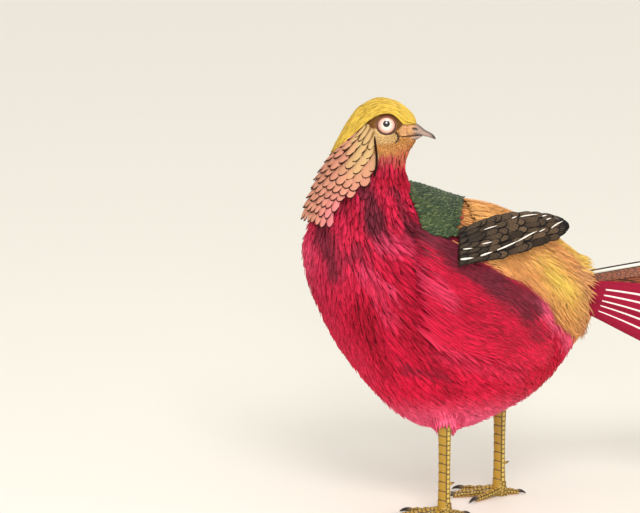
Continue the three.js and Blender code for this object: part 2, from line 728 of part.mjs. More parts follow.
function claw(at, heading, [, , length, thick], name) {
  const start = thick * 0.6;
  const long = name === "back" ? 7 : 10;
  return reshaped(new THREE.CylinderGeometry(1, 1, 1, 6, 3), (p) => {
    const u = p.y + 0.5;
    const r = start * (1 - 0.9 * u);
    const z = start * 0.98 + r * p.x - 1.7 * u * u + 0.35;
    return toePoint(at, heading, length + gap + long * u, -p.z * r * 0.85, Math.max(0.25, z));
  });
}

function makeFoot(side, label, at) {
  const heel = new THREE.CylinderGeometry(4.5, 5.4, ankle, 10, 1).scale(1, 1, 0.85).rotateX(Math.PI / 2);
  const pieces = [solid(heel.translate(at.x, at.y, ankle / 2))];
  const claws = [];
  for (const row of toes) {
    const heading = row[1] * side;
    pieces.push(solid(toe(at, heading, row, row[0])));
    claws.push(mesh(`claw_${label}_${row[0]}`, solid(claw(at, heading, row, row[0])), look("claws")));
  }
  return [mesh(`foot_${label}`, joinAll(pieces), look("legs")), ...claws];
}

function makePheasant() {
  const group = new THREE.Group();
  group.name = "golden_pheasant";
  const head = new THREE.Group();
  head.name = "head_group";
  head.add(makeHead(), ...makeEyes(), ...makeBill(), makeCrest());
  const body = new THREE.Group();
  body.name = "body_group";
  body.add(makeNeck(), makeCape(), makeTorso(), makeMantle(), ...makeRump());
  body.add(makeShoulder("shoulder_left", 1), makeShoulder("shoulder_right", -1));
  body.add(makeWing("wing_left", 1, 0), makeWing("wing_right", -1, farWingDrop));
  const legs = new THREE.Group();
  legs.name = "leg_group";
  legs.add(makeLeg("leg_left", leftShank), makeLeg("leg_right", rightShank));
  legs.add(...makeFoot(-1, "left", leftShank), ...makeFoot(1, "right", rightShank));
  const tail = new THREE.Group();
  tail.name = "tail_group";
  tail.add(makeTail(), makeCoverts("tail_coverts_left", 1), makeCoverts("tail_coverts_right", -1));
  group.add(head, body, legs, tail);
  group.updateMatrixWorld(true);
  const box = new THREE.Box3().setFromObject(group, true);
  const middle = box.getCenter(vec(0, 0, 0));
  for (const part of group.children) part.position.set(-middle.x, -middle.y, -box.min.z);
  return group;
}

export default makePheasant();
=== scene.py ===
# Golden pheasant cock, life size, standing with its head turned back over its left side.
# The plumage is modelled feather by feather round the frame. Sizes are in millimetres until a mesh is made.
import bpy
import bmesh
import math
import numpy as np
from mathutils import Vector, Matrix
from mathutils.bvhtree import BVHTree
from mathutils.kdtree import KDTree


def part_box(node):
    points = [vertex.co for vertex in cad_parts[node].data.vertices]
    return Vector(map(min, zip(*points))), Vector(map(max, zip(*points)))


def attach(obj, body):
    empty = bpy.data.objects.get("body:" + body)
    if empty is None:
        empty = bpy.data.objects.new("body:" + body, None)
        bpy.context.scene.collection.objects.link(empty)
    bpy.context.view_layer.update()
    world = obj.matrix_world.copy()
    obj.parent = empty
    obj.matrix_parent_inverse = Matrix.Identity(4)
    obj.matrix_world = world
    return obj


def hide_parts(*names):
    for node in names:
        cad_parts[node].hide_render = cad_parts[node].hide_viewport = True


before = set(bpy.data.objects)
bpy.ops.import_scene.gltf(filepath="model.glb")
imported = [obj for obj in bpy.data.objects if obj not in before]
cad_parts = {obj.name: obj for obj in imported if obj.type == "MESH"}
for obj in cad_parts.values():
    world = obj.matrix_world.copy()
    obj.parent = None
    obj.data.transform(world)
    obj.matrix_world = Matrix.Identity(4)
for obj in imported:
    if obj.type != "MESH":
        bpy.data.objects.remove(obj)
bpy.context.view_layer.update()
mm = 0.001

# The bird's own zero, on the ground below the wing's root, from where the right eye sits in the frame
eyeLow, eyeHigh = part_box("eye_right")
rightEye = np.array([-79.0, -19.39, 345.5])
birdZero = (np.array(eyeLow) + np.array(eyeHigh)) / 2 - rightEye * mm


# A smooth line through [place, value] pairs, for whole arrays of places
def curve(pairs):
    xs, ys = np.array(pairs, float).T
    before = np.r_[0, np.arange(len(xs) - 1)]
    after = np.r_[np.arange(1, len(xs)), len(xs) - 1]
    slope = (ys[after] - ys[before]) / (xs[after] - xs[before])

    def value(x):
        x = np.clip(np.asarray(x, float), xs[0], xs[-1])
        i = np.clip(np.searchsorted(xs, x), 1, len(xs) - 1)
        span = xs[i] - xs[i - 1]
        t = (x - xs[i - 1]) / span
        bend = t * t * (3 - 2 * t)
        rise = span * t * (1 - t) * ((1 - t) * slope[i - 1] - t * slope[i])
        return ys[i - 1] + (ys[i] - ys[i - 1]) * bend + rise

    return value


def lerp(a, b, t):
    return a + (b - a) * t


def smooth(low, high, x):
    t = np.clip((np.asarray(x, float) - low) / (high - low), 0, 1)
    return t * t * (3 - 2 * t)


def unit(v):
    return v / np.maximum(np.linalg.norm(v, axis=-1, keepdims=True), 1e-9)


def stack3(x, y, z):
    return np.stack(np.broadcast_arrays(x, y, z), -1)


# A colour code as Blender's linear colour
def rgb(code):
    c = np.array([int(code[i:i + 2], 16) for i in (0, 2, 4)]) / 255
    return np.where(c > 0.04045, ((c + 0.055) / 1.055) ** 2.4, c / 12.92)


# The forms of the bird, each a surface(along, around): along from -1 to 1, around in radians from the top
breastX, rumpX = -151.0, 116.0
bodyMiddle = curve([[-1, 236], [-0.8, 216], [-0.6, 203], [-0.33, 187], [0, 174], [0.35, 174], [0.6, 175.5],
                    [0.83, 181], [1, 184]])
bodyHeight = curve([[-1, 88], [-0.6, 104], [-0.33, 109.5], [0, 103], [0.35, 94], [0.6, 88], [0.83, 73.5],
                    [1, 70]])
bodyWidth = curve([[-1, 64], [-0.5, 70], [0, 70], [0.5, 62], [1, 50]])


# How far along the body a place is, from -1 at the breast to 1 at the rump
def bodyAlong(x):
    return 2 * (x - breastX) / (rumpX - breastX) - 1


def bodySurface(along, around):
    ring = np.sqrt(np.maximum(0, 1 - along * along))
    x = lerp(breastX, rumpX, (along + 1) / 2)
    y = bodyWidth(along) * ring * np.sin(around)
    z = bodyMiddle(along) + bodyHeight(along) * ring * np.cos(around)
    return stack3(x, y, z)


neckTop, neckFoot = 342.0, 226.0
neckMiddleX = curve([[226, -91], [264, -93.5], [285, -94], [307, -92], [323, -87], [342, -82]])
neckMiddleY = curve([[226, 0], [285, -3], [342, -10]])
neckLength = curve([[226, 50], [264, 49.5], [285, 41.5], [307, 33], [323, 28], [342, 19]])
neckWidth = curve([[226, 47], [264, 43], [285, 34], [307, 27], [323, 22.5], [342, 16]])


def neckSurface(down, around):
    z = lerp(neckTop, neckFoot, (down + 1) / 2)
    x = neckMiddleX(z) - neckLength(z) * np.cos(around)
    y = neckMiddleY(z) - neckWidth(z) * np.sin(around)
    return stack3(x, y, z)


# The head's own frame: forward is its X, its left is its Y
headTurn = math.radians(-12)
headPlace = np.array([-77.0, -10.0, 345.5])
headAxes = np.array([
    [math.cos(headTurn), math.sin(headTurn), 0],
    [-math.sin(headTurn), math.cos(headTurn), 0],
    [0, 0, 1],
])
headReach = 27.0


def fromHead(points):
    return points @ headAxes + headPlace


def inHead(points):
    return (points - headPlace) @ headAxes.T


headMiddle = curve([[-1, 0], [-0.74, -3.5], [0, -3], [0.37, -3.6], [0.74, -4.7], [1, -5]])
headHeight = curve([[-1, 25], [-0.74, 24], [0, 21.7], [0.37, 19.8], [0.74, 18.3], [1, 17]])
headWidth = curve([[-1, 17], [-0.5, 18.5], [0, 16.8], [0.37, 15.2], [0.74, 13.2], [1, 12.5]])


def headSurface(along, around):
    ring = np.sqrt(np.maximum(0, 1 - along * along))
    y = headWidth(along) * ring * np.sin(around)
    z = headMiddle(along) + headHeight(along) * ring * np.cos(around)
    return fromHead(stack3(headReach * along, y, z))


# Points on a surface, lifted off it along its outward normal
def on(surface, a, b, lift):
    step = 1e-3
    inner = np.clip(a, -0.99, 0.99)
    down = surface(inner + step, b) - surface(inner - step, b)
    across = surface(inner, b + step) - surface(inner, b - step)
    return surface(a, b) + unit(np.cross(down, across)) * np.asarray(lift)[..., None]


# Meshes
def addObject(name, data):
    made = bpy.data.objects.new(name, data)
    bpy.context.scene.collection.objects.link(made)
    return made


# A bmesh made triangles and read out as points and faces
def readOut(bm):
    bmesh.ops.triangulate(bm, faces=bm.faces[:])
    bm.verts.index_update()
    co = np.array([v.co for v in bm.verts])
    faces = np.array([[v.index for v in f.verts] for f in bm.faces])
    bm.free()
    return co, faces


# Loose shells joined to one closed skin
def oneSkin(mesh, voxel):
    rough = addObject("rough", mesh)
    joined = rough.modifiers.new("joined", "REMESH")
    joined.mode = "VOXEL"
    joined.voxel_size = voxel
    bm = bmesh.new()
    bm.from_mesh(rough.evaluated_get(bpy.context.evaluated_depsgraph_get()).to_mesh())
    bpy.data.objects.remove(rough)
    return bm


def relax(bm, verts, factor, times):
    axes = {"use_axis_" + axis: True for axis in "xyz"}
    for _ in range(times):
        bmesh.ops.smooth_vert(bm, verts=verts, factor=factor, **axes)


def meshFrom(name, coords, faces, tints, layers=None):
    coords = np.ascontiguousarray(coords * mm + birdZero, np.float32)
    faces = np.ascontiguousarray(faces, np.int32)
    mesh = bpy.data.meshes.new(name)
    mesh.vertices.add(len(coords))
    mesh.vertices.foreach_set("co", coords.ravel())
    mesh.loops.add(faces.size)
    mesh.loops.foreach_set("vertex_index", faces.ravel())
    mesh.polygons.add(len(faces))
    mesh.polygons.foreach_set("loop_start", np.arange(0, faces.size, faces.shape[1], dtype=np.int32))
    mesh.update(calc_edges=True)
    for layerName, uv in (layers or {}).items():
        layer = mesh.uv_layers.new(name=layerName)
        layer.data.foreach_set("uv", np.ascontiguousarray(uv[faces.ravel()], np.float32).ravel())
    tint = mesh.attributes.new("tint", "FLOAT_COLOR", "POINT")
    tint.data.foreach_set("color", np.c_[tints, np.ones(len(tints))].astype(np.float32).ravel())
    mesh.polygons.foreach_set("use_smooth", np.ones(len(faces), bool))
    mesh.validate()
    return addObject(name, mesh)


def finishPiece(piece, material, replaced=()):
    piece.data.materials.clear()
    piece.data.materials.append(material)
    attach(piece, "root")
    if replaced:
        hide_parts(*replaced)


# A closed vane, flat and pointed: rings of a few corners from root to tip.
# Returns across (-1 to 1), along (0 to 1), side (-1 to 1) for each vertex, and the faces.
def vaneShape(corners, rings):
    bm = bmesh.new()
    bmesh.ops.create_cone(bm, cap_ends=True, segments=corners, radius1=1, radius2=1, depth=1)
    lengthwise = [e for e in bm.edges if abs(e.verts[0].co.z - e.verts[1].co.z) > 0.5]
    bmesh.ops.subdivide_edges(bm, edges=lengthwise, cuts=rings - 1)
    co, faces = readOut(bm)
    return co[:, 0], co[:, 2] + 0.5, co[:, 1], faces


# A vane with both faces split alike: a grid given thickness, its rings crowded towards the tip
def bladeShape(columns, rings, crowd=1.0):
    bm = bmesh.new()
    bmesh.ops.create_grid(bm, x_segments=columns, y_segments=rings, size=1)
    low = bm.faces[:]
    high = bmesh.ops.duplicate(bm, geom=bm.verts[:] + bm.edges[:] + low)["geom"]
    raised = [g for g in high if isinstance(g, bmesh.types.BMVert)]
    bmesh.ops.translate(bm, verts=raised, vec=(0, 0, 1))
    bmesh.ops.reverse_faces(bm, faces=low)
    bmesh.ops.bridge_loops(bm, edges=[e for e in bm.edges if e.is_boundary])
    co, faces = readOut(bm)
    return co[:, 0], 1 - (1 - (co[:, 1] + 1) / 2) ** crowd, co[:, 2] * 2 - 1, faces


# A long round body. Returns turn (0 at +X of the ring), along (0 to 1) and the faces.
def tubeShape(corners, rings):
    across, along, aside, faces = vaneShape(corners, rings)
    return np.arctan2(aside, across), along, faces


# One value for each feather: root a0, b0 and tip a1, b1 on its surface, half its width, the lift of its
# root and tip, and its thickness. A tint and a place on the baked map join them later.
rowKeys = ("a0", "b0", "a1", "b1", "half", "liftRoot", "liftTip", "thick")


def featherRows(*values):
    return {key: value + 0 * values[0] for key, value in zip(rowKeys, values)}


def plant(name, shape, surface, rows, outline, cup=0.0, camber=0.0, patch=0.003):
    u, v, s, faces = shape
    a = lerp(rows["a0"][:, None], rows["a1"][:, None], v)
    b = lerp(rows["b0"][:, None], rows["b1"][:, None], v)
    around = np.linalg.norm(surface(a, b + 1e-3) - surface(a, b - 1e-3), axis=-1) / 2e-3
    wide = rows["half"][:, None] * outline(v)
    b = b + u * wide / np.maximum(around, 1)
    thick = rows["thick"][:, None] * (1 - 0.6 * u * u) * (1 - 0.6 * v)
    lift = lerp(rows["liftRoot"][:, None], rows["liftTip"][:, None], v) - cup * u * u + s * thick / 2
    return gather(name, shape, on(surface, a, b, lift + camber * v * (1 - v)), rows, patch)


# The feathers of a piece as one mesh, each with its own map and a small patch of the baked one
def gather(name, shape, point, rows, patch=0.003):
    u, v, s, faces = shape
    count = len(rows["tint"])
    allFaces = (faces[None] + (np.arange(count) * len(u))[:, None, None]).reshape(-1, 3)
    own = np.stack([u * 0.5 + 0.5, v], -1)
    bake = np.clip((rows["bake"][:, None] + patch * own).reshape(-1, 2), 0.001, 0.999)
    maps = {"OFBake": bake, "Feather": np.tile(own, (count, 1))}
    return meshFrom(name, point.reshape(-1, 3), allFaces, np.repeat(rows["tint"], len(u), axis=0), maps)


# Where a point lies on an unwrap of the skin: the body's chart first, then the neck and head's
def unwrapped(points):
    x, y, z = points.T
    along = (x - breastX) / (rumpX - breastX)
    around = np.arctan2(y, z - 180) / (2 * math.pi) + 0.5
    body = np.stack([0.02 + 0.58 * along, 0.02 + 0.96 * around], -1)
    top = np.arctan2(y - neckMiddleY(z), x - neckMiddleX(z)) / (2 * math.pi) + 0.5
    upper = np.stack([0.64 + 0.34 * np.clip((z - 230) / 140, 0, 1), 0.02 + 0.96 * top], -1)
    return np.where(((z > 292) & (x < -30))[:, None], upper, body)


# Colours, by their code
palette = {name: rgb(code) for name, code in {
    "crimson": "c8173c", "deep": "a8102a", "pink": "e2456c", "litBlush": "ff6f97", "maroon": "6e2434",
    "scarlet": "9d1335", "rust": "d07352", "dusty": "b4584f", "salmon": "c5866e", "rose": "e27486",
    "golden": "eba764", "straw": "ffdd68", "yellow": "e3bd48", "ochre": "d69857", "buff": "e6be80",
    "gape": "ffc68c", "cheek": "c8a471", "brown": "8b5d2e", "lid": "7c4c30", "chestnut": "a4562f",
    "umber": "2c2622", "dark": "24130c", "ink": "2a1712", "hem": "2e1710", "crease": "331c10",
    "green": "283b1e", "moss": "43522a", "fleck": "788150", "rim": "1c3a1e", "covert": "4d3c2b",
    "blade": "453a30", "wingCore": "2a2320", "bladeEdge": "0e0b0a", "covertEdge": "120c0a",
    "wingShaft": "efe6da", "tailShaft": "efe6d2", "broadShaft": "f7f1e4", "redShaft": "f7e6e0",
    "shaftShade": "2a1a12", "legs": "ad8527", "legPale": "e6c765", "horn": "a58a7c", "claw": "6b5234",
    "pupil": "0b0807", "floor": "efebe1", "world": "f4f2ec"}.items()}


def tinted(tone, count):
    return np.tile(palette[tone], (count, 1))


# A share of another colour, by its name or given for each point
def mixed(base, tone, share):
    tone = palette[tone] if isinstance(tone, str) else tone
    return base + (tone - base) * np.clip(share, 0, 1)[:, None]


def toned(colours, draw, amount):
    return colours * np.clip(1 + draw.normal(0, amount, (len(colours), 1)), 0.4, 1.7)


# Streaky noise: a few waves that run down and back along the body
def streaks(points, scale, seed):
    waves = np.random.default_rng(seed)
    total = np.zeros(len(points))
    for _ in range(7):
        way = waves.normal(size=3) * np.array([0.5, 1, 1.2]) / scale
        total += np.sin(points @ way + waves.uniform(0, 6.28))
    return total / 3.5


# How far back the red coat reaches at each height, and gold behind it
goldFrom = curve([[145, 92], [157, 80], [163, 72], [170, 66], [179, 60], [189, 52], [196, 42], [205, 34],
                  [215, 19], [230, 2], [257, -25], [281, -9], [292, -9]])
# The yellow patch on each side of the rump: its middle, which way it runs, its half length and width
rumpPatch = {"x": 71, "z": 200, "run": (0.64, -0.77), "long": 24, "wide": 11}


# The back and rump: orange, with the yellow patch
def goldTone(points):
    x, y, z = points.T
    back, up = x - rumpPatch["x"], z - rumpPatch["z"]
    run, fall = rumpPatch["run"]
    along, aside = run * back + fall * up, -fall * back + run * up
    wavy = aside + 3 * streaks(points, 10, 4)
    patch = np.exp(-(along / rumpPatch["long"]) ** 2 - (wavy / rumpPatch["wide"]) ** 2)
    top = bodySurface(bodyAlong(np.clip(x, -30, 112)), 0 * x)[:, 2]
    rim = smooth(9, 1, top - z) * smooth(48, 62, x)
    tone = mixed(tinted("golden", len(x)), "salmon", 0.4 * smooth(84, 100, x) * smooth(225, 205, z))
    return mixed(tone, "straw", 0.95 * patch + 0.7 * rim + 0.12 * streaks(points, 16, 6))


# Broad soft marks on the red coat, painted shade and light: the maroon and deep ones are painted shade (along
# the wing's root partly the bird's own maroon), the pink ones painted highlight. Each runs from (x, z) to (x,
# z), with its half width there, colour, strength
coatShadeAndLightMarks = (
    (-138, 266, -126, 222, 7, "maroon", 0.85), (-106, 304, -95, 262, 8.5, "maroon", 0.9),
    (-96, 268, -88, 250, 9.5, "maroon", 0.85), (-88, 300, -66, 296, 6, "deep", 0.8),
    (-116, 292, -122, 276, 3.5, "maroon", 0.6), (-76, 292, -66, 254, 3.5, "maroon", 0.7),
    (-118, 237, -103, 243, 5, "maroon", 0.65), (-62, 256, -22, 238, 10, "maroon", 0.9),
    (-24, 232, 8, 210, 11, "maroon", 0.85), (8, 208, 40, 184, 13, "maroon", 0.85),
    (34, 176, 46, 160, 8, "maroon", 0.4), (-88, 246, -58, 241, 8, "pink", 0.6),
    (-104, 228, -84, 204, 5, "pink", 0.7), (-108, 222, -84, 180, 6, "pink", 0.4),
    (-60, 236, -30, 190, 7, "pink", 0.45), (-40, 150, 30, 128, 8, "pink", 0.3),
    (-112, 190, -84, 140, 7, "deep", 0.7), (-70, 170, -30, 120, 9, "deep", 0.55),
    (-20, 190, 26, 150, 9, "deep", 0.45), (-74, 140, -40, 132, 4, "maroon", 0.5),
    (-120, 290, -112, 262, 5, "deep", 0.5),
)


def nearLine(x, z, x0, z0, x1, z1):
    along = ((x - x0) * (x1 - x0) + (z - z0) * (z1 - z0)) / ((x1 - x0) ** 2 + (z1 - z0) ** 2)
    along = np.clip(along, 0, 1)
    return np.hypot(x - lerp(x0, x1, along), z - lerp(z0, z1, along))


# The face, in the head's frame: the crest's lower edge, and the dark wedge through the eye
crestEdge = curve([[-36, -14.6], [-28.7, -7.3], [-21.8, -0.4], [-17.6, 4], [-12.1, 7.2], [-7.8, 9.2],
                   [-2, 10.2], [2, 9.7], [6.7, 7.2], [11, 2.9], [13, 0.7], [16.6, -0.3], [24, -1]])
wedgeEdge = curve([[-20, 1.5], [-18, -0.5], [-14.5, -2.8], [-10, -3.2], [-5, -5], [1, -6.5], [6.2, -5.2],
                   [8.7, -4], [11.7, -1], [15.4, 0.6], [18, 3]])
# The round front of the pale cheek: its middle, and half its length and height
cheekFront = {"x": 2.2, "z": -11, "long": 6, "high": 5.4}
# The eye socket: its middle, how wide it is, and how far out its floor's rim lies
socket = {"x": -1.8, "z": -0.5, "radius": 9.6, "rim": 17.0, "dish": 3.6}


def fromSocket(head):
    return np.hypot(head[:, 0] - socket["x"], head[:, 2] - socket["z"])


def faceColour(base, points, noise):
    head = inHead(points)
    x, z, height = head[:, 0], head[:, 2], points[:, 2]
    side = smooth(4, 9, np.abs(head[:, 1]))
    face = smooth(-31, -21, z + 1.5 * noise + 0.12 * np.abs(x)) * smooth(310, 318, height)
    dusty = smooth(-38, -31, z + 2 * noise) * smooth(-19, -24, z) * smooth(13, 7, x) * smooth(-19, -15, x)
    chin = smooth(2, 9, x) * smooth(-11, -14, z) * smooth(302, 314, height)
    front = np.hypot((x - cheekFront["x"]) / cheekFront["long"], (z - cheekFront["z"]) / cheekFront["high"])
    cheek = smooth(-17.5, -13, z + 0.7 * noise) * smooth(-13.6, -12.6, x)
    cheek = cheek * np.where(x > cheekFront["x"], smooth(1.12, 1.0, front), 1)
    ear = smooth(-17, -12, z + noise) * smooth(-13.2, -15.5, x) * smooth(-25, -22, x)
    lobe = smooth(0.9, 0.3, np.abs(x + 13)) * smooth(-18, -15, z)
    wedge = smooth(-0.7, 0.7, z - wedgeEdge(x) + 0.4 * noise) * smooth(-21, -18.5, x)
    browShade = smooth(10.4, 9.2, fromSocket(head)) * smooth(-3, 3, z)
    # A dark line round the cheek's front: painted shade of the crease there
    cheekCreaseShade = smooth(0.17, 0.06, np.abs(front - 1)) * smooth(4.2, 5.8, x)
    for tone, share in (
        ("dusty", 0.75 * dusty * smooth(290, 304, height)),
        ("ochre", face),
        ("ochre", chin * smooth(-26, -20, z)),
        ("rust", 0.7 * chin * smooth(-15, -27, z - 0.25 * (x - 12))),
        ("buff", face * side * cheek),
        ("buff", 0.7 * face * side * ear),
        # The pale rictus: its own pale buff, lightened further to lift the shade on the face's forward side,
        # so partly painted light
        ("gape", 0.9 * face * smooth(8.5, 10, x) * smooth(-11, -10, z)),
        ("brown", 0.6 * face * side * lobe),
        ("brown", face * side * wedge),
        ("umber", 0.35 * face * side * browShade),
        ("dark", 0.8 * face * side * cheekCreaseShade),
        ("yellow", face * smooth(-0.6, 0.8, z - crestEdge(x)) * smooth(-29, -26, x)),
    ):
        base = mixed(base, tone, share)
    return base


def coatColour(points):
    x, y, z = points.T
    noise, soft = streaks(points, 14, 3), streaks(points, 30, 5)
    # Crimson up to 35 % lighter low down, and a pale pink rim along the belly: painted light lifting the
    # shade underneath. The pink rim also runs down the breast's front and along the edge of the gold.
    base = tinted("crimson", len(x)) * (1 + 0.35 * smooth(205, 120, z))[:, None]
    base = mixed(base, "deep", 0.5 * smooth(0.1, 1.3, streaks(points, 22, 9)) * smooth(110, 170, z))
    rim = np.maximum(smooth(118, 80, z), 0.3 * smooth(-136, -150, x) * smooth(150, 200, z))
    rim = np.maximum(rim, 0.65 * smooth(12, 3, np.abs(x - goldFrom(z) + 3)) * smooth(200, 184, z))
    base = mixed(base, "pink", 0.3 * smooth(-0.2, 1.2, soft))
    base = mixed(base, "litBlush", 0.9 * rim)
    # The marks of painted shade and painted highlight over the coat
    for x0, z0, x1, z1, half, tone, share in coatShadeAndLightMarks:
        gap = nearLine(x + 2.5 * noise, z + 2 * soft, x0, z0, x1, z1)
        base = mixed(base, tone, share * smooth(1.35 * half, 0.45 * half, gap) * smooth(4, 16, np.abs(y)))
    gold = smooth(-4, 4, x - goldFrom(z) + 5 * noise) * smooth(-60, -20, x)
    base = mixed(base, goldTone(points), gold)
    base = mixed(base, "rust", smooth(298, 318, z + 4 * noise) * smooth(-64, -48, x))
    return faceColour(base, points, noise)


# Which way the coat lies, along the skin
def coatLie(points, normals):
    x, y, z = points.T
    way = lerp(np.array([0.75, 0, -0.65]), np.array([0.15, 0, -1]), smooth(-60, -135, x)[:, None])
    rear = stack3(0.8, 0, -0.5 - 1.2 * smooth(235, 170, z))
    way = lerp(way, rear, smooth(20, 70, x)[:, None])
    onNeck = smooth(250, 285, z) * smooth(-25, -45, x)
    way = lerp(way, np.array([-0.12, 0, -1]), onNeck[:, None])
    way = lerp(way, np.array([-1.0, 0, -0.45]) @ headAxes, smooth(322, 332, z)[:, None])
    return unit(way - normals * np.sum(way * normals, -1, keepdims=True))


# Materials. Each helper adds to a material's node tree and returns the output that the next one reads
def newMaterial(name, roughness=0.6, sheen=0.0, coat=0.0, specular=0.4):
    material = bpy.data.materials.new(name)
    material.use_nodes = True
    shader = material.node_tree.nodes["Principled BSDF"]
    shader.inputs["Roughness"].default_value = roughness
    shader.inputs["Sheen Weight"].default_value = sheen
    shader.inputs["Sheen Roughness"].default_value = 0.4
    shader.inputs["Coat Weight"].default_value = coat
    shader.inputs["Specular IOR Level"].default_value = specular
    return material, material.node_tree, shader


def addNode(tree, kind, **settings):
    made = tree.nodes.new(kind)
    for key, value in settings.items():
        setattr(made, key, value)
    return made


# Gives a socket an output's link, a colour or a number
def feed(tree, socket, value):
    if hasattr(value, "is_output"):
        tree.links.new(value, socket)
    else:
        socket.default_value = (*value, 1) if np.ndim(value) else value


def maths(tree, operation, *values):
    made = addNode(tree, "ShaderNodeMath", operation=operation)
    for socket, value in zip(made.inputs, values):
        feed(tree, socket, value)
    return made.outputs[0]


def ramp(tree, source, *stops):
    made = addNode(tree, "ShaderNodeValToRGB")
    elements = made.color_ramp.elements
    while len(elements) < len(stops):
        elements.new(0.5)
    for element, (place, tone) in zip(elements, stops):
        element.position = place
        element.color = (*tone, 1) if np.ndim(tone) else (tone, tone, tone, 1)
    tree.links.new(source, made.inputs[0])
    return made.outputs[0]


def mixColour(tree, share, a, b, blend="MIX"):
    made = addNode(tree, "ShaderNodeMix", data_type="RGBA", blend_type=blend)
    for index, value in ((0, share), (6, a), (7, b)):
        feed(tree, made.inputs[index], value)
    return made.outputs[2]


def multiplied(tree, a, b):
    return mixColour(tree, 1.0, a, b, "MULTIPLY")


def ownTint(tree):
    return addNode(tree, "ShaderNodeAttribute", attribute_name="tint").outputs["Color"]


def mapParts(tree, name):
    split = addNode(tree, "ShaderNodeSeparateXYZ")
    tree.links.new(addNode(tree, "ShaderNodeUVMap", uv_map=name).outputs[0], split.inputs[0])
    return split.outputs[0], split.outputs[1]


def noiseNode(tree, scale, detail=2.0, stretch=None):
    made = addNode(tree, "ShaderNodeTexNoise")
    made.inputs["Scale"].default_value = scale
    made.inputs["Detail"].default_value = detail
    place = addNode(tree, "ShaderNodeTexCoord").outputs["Object"]
    if stretch:
        turned = addNode(tree, "ShaderNodeMapping")
        turned.inputs["Scale"].default_value = stretch
        tree.links.new(place, turned.inputs["Vector"])
        place = turned.outputs[0]
    tree.links.new(place, made.inputs["Vector"])
    return made.outputs[0]


def bumpFrom(tree, shader, height, strength, distance):
    bump = addNode(tree, "ShaderNodeBump")
    bump.inputs["Strength"].default_value = strength
    bump.inputs["Distance"].default_value = distance
    tree.links.new(height, bump.inputs["Height"])
    tree.links.new(bump.outputs[0], shader.inputs["Normal"])


# Barbs: fine slanting lines on both sides of the shaft, from a feather's own map
def barbLines(tree, fromShaft, along, density, slant=0.6):
    slanted = maths(tree, "SUBTRACT", along, maths(tree, "MULTIPLY", fromShaft, slant))
    wave = maths(tree, "SINE", maths(tree, "MULTIPLY", slanted, density * 2 * math.pi))
    return maths(tree, "MULTIPLY_ADD", wave, 0.5)


# Dark margin round the end of a feather whose outline is a half circle from capFrom on
def roundMargin(tree, along, fromShaft, capFrom, width):
    cap = maths(tree, "MULTIPLY", maths(tree, "SUBTRACT", along, capFrom), 1 / (1 - capFrom))
    cap = maths(tree, "MAXIMUM", cap, 0)
    capSquare = maths(tree, "MULTIPLY", cap, cap)
    sideways = maths(tree, "MULTIPLY", fromShaft, 2)
    sideSquare = maths(tree, "MULTIPLY", sideways, sideways)
    inner = maths(tree, "MULTIPLY", sideSquare, maths(tree, "SUBTRACT", 1, capSquare))
    reach = maths(tree, "SQRT", maths(tree, "ADD", inner, capSquare))
    return ramp(tree, reach, (1 - width - 0.05, 0.0), (1 - width + 0.03, 1.0))


# Straight margins: the end from edgeFrom on, and both sides beyond edgeSide
def straightMargin(tree, along, fromShaft, edgeFrom, edgeSide, upper):
    tip = ramp(tree, along, (edgeFrom, 0.0), (edgeFrom + 0.05, 1.0))
    sides = ramp(tree, fromShaft, (edgeSide / 2, 0.0), (edgeSide / 2 + 0.03, 1.0))
    return maths(tree, "MAXIMUM", tip, maths(tree, "MULTIPLY", sides, upper))


def featherMaterial(name, density, roughness=0.55, sheen=0.0, specular=0.35, variation=0.25, rootDark=0.35,
                    tipPale=0.0, edge=None, edgeFrom=0.8, edgeSide=0.9, sideFrom=0.35, capFrom=None,
                    pattern=None):
    material, tree, shader = newMaterial(name, roughness, sheen, specular=specular)
    across, along = mapParts(tree, "Feather")
    fromShaft = maths(tree, "ABSOLUTE", maths(tree, "SUBTRACT", across, 0.5))
    barbs = barbLines(tree, fromShaft, along, density)
    rooted = ramp(tree, along, (0.0, 1 - rootDark), (0.55, 1.0), (1.0, 1 + tipPale))
    streak = ramp(tree, barbs, (0.0, 1 - variation), (1.0, 1 + variation * 0.4))
    colour = multiplied(tree, multiplied(tree, ownTint(tree), rooted), streak)
    if pattern:
        colour = pattern(tree, colour, across, along, fromShaft)
    if edge:
        upper = ramp(tree, along, (sideFrom, 0.0), (min(1, sideFrom + 0.1), 1.0))
        if capFrom:
            mask = maths(tree, "MULTIPLY", roundMargin(tree, along, fromShaft, capFrom, edgeSide), upper)
        else:
            mask = straightMargin(tree, along, fromShaft, edgeFrom, edgeSide, upper)
        colour = mixColour(tree, mask, colour, palette[edge])
    tree.links.new(colour, shader.inputs["Base Color"])
    bumpFrom(tree, shader, barbs, 0.35, 0.0004)
    return material


# Skin and horn: colour from the tint, with fine grain
def grainMaterial(name, roughness, coat, scale, depth, specular=0.4, shades=(0.85, 1.05), sheen=0.0,
                  detail=3.0, strength=0.4):
    material, tree, shader = newMaterial(name, roughness, sheen, coat, specular)
    grain = noiseNode(tree, scale, detail)
    shade = ramp(tree, grain, (0.3, shades[0]), (0.7, shades[1]))
    tree.links.new(multiplied(tree, ownTint(tree), shade), shader.inputs["Base Color"])
    bumpFrom(tree, shader, grain, strength, depth)
    return material


# Skin: body, neck and head in one, inside the coat. The neck's inset is a share of its half width.
skinLook = {"bodyInset": 5.0, "neckInset": 0.0875, "headInset": 1.3, "voxel": 2.0, "neckRings": 20,
            "blend": 14, "blendFrom": 225, "blendTo": 300, "faceFrom": 322}


def ballMesh(bm, surface, around, along, inset):
    made = bmesh.ops.create_uvsphere(bm, u_segments=around, v_segments=along, radius=1)["verts"]
    co = np.array([v.co for v in made])
    points = on(surface, np.clip(co[:, 2], -0.9999, 0.9999), np.arctan2(co[:, 1], co[:, 0]), -inset)
    for v, p in zip(made, points):
        v.co = p


def onUnitTube(v):
    return abs(v.co.z) <= 1.0001 and math.hypot(v.co.x, v.co.y) < 1.001


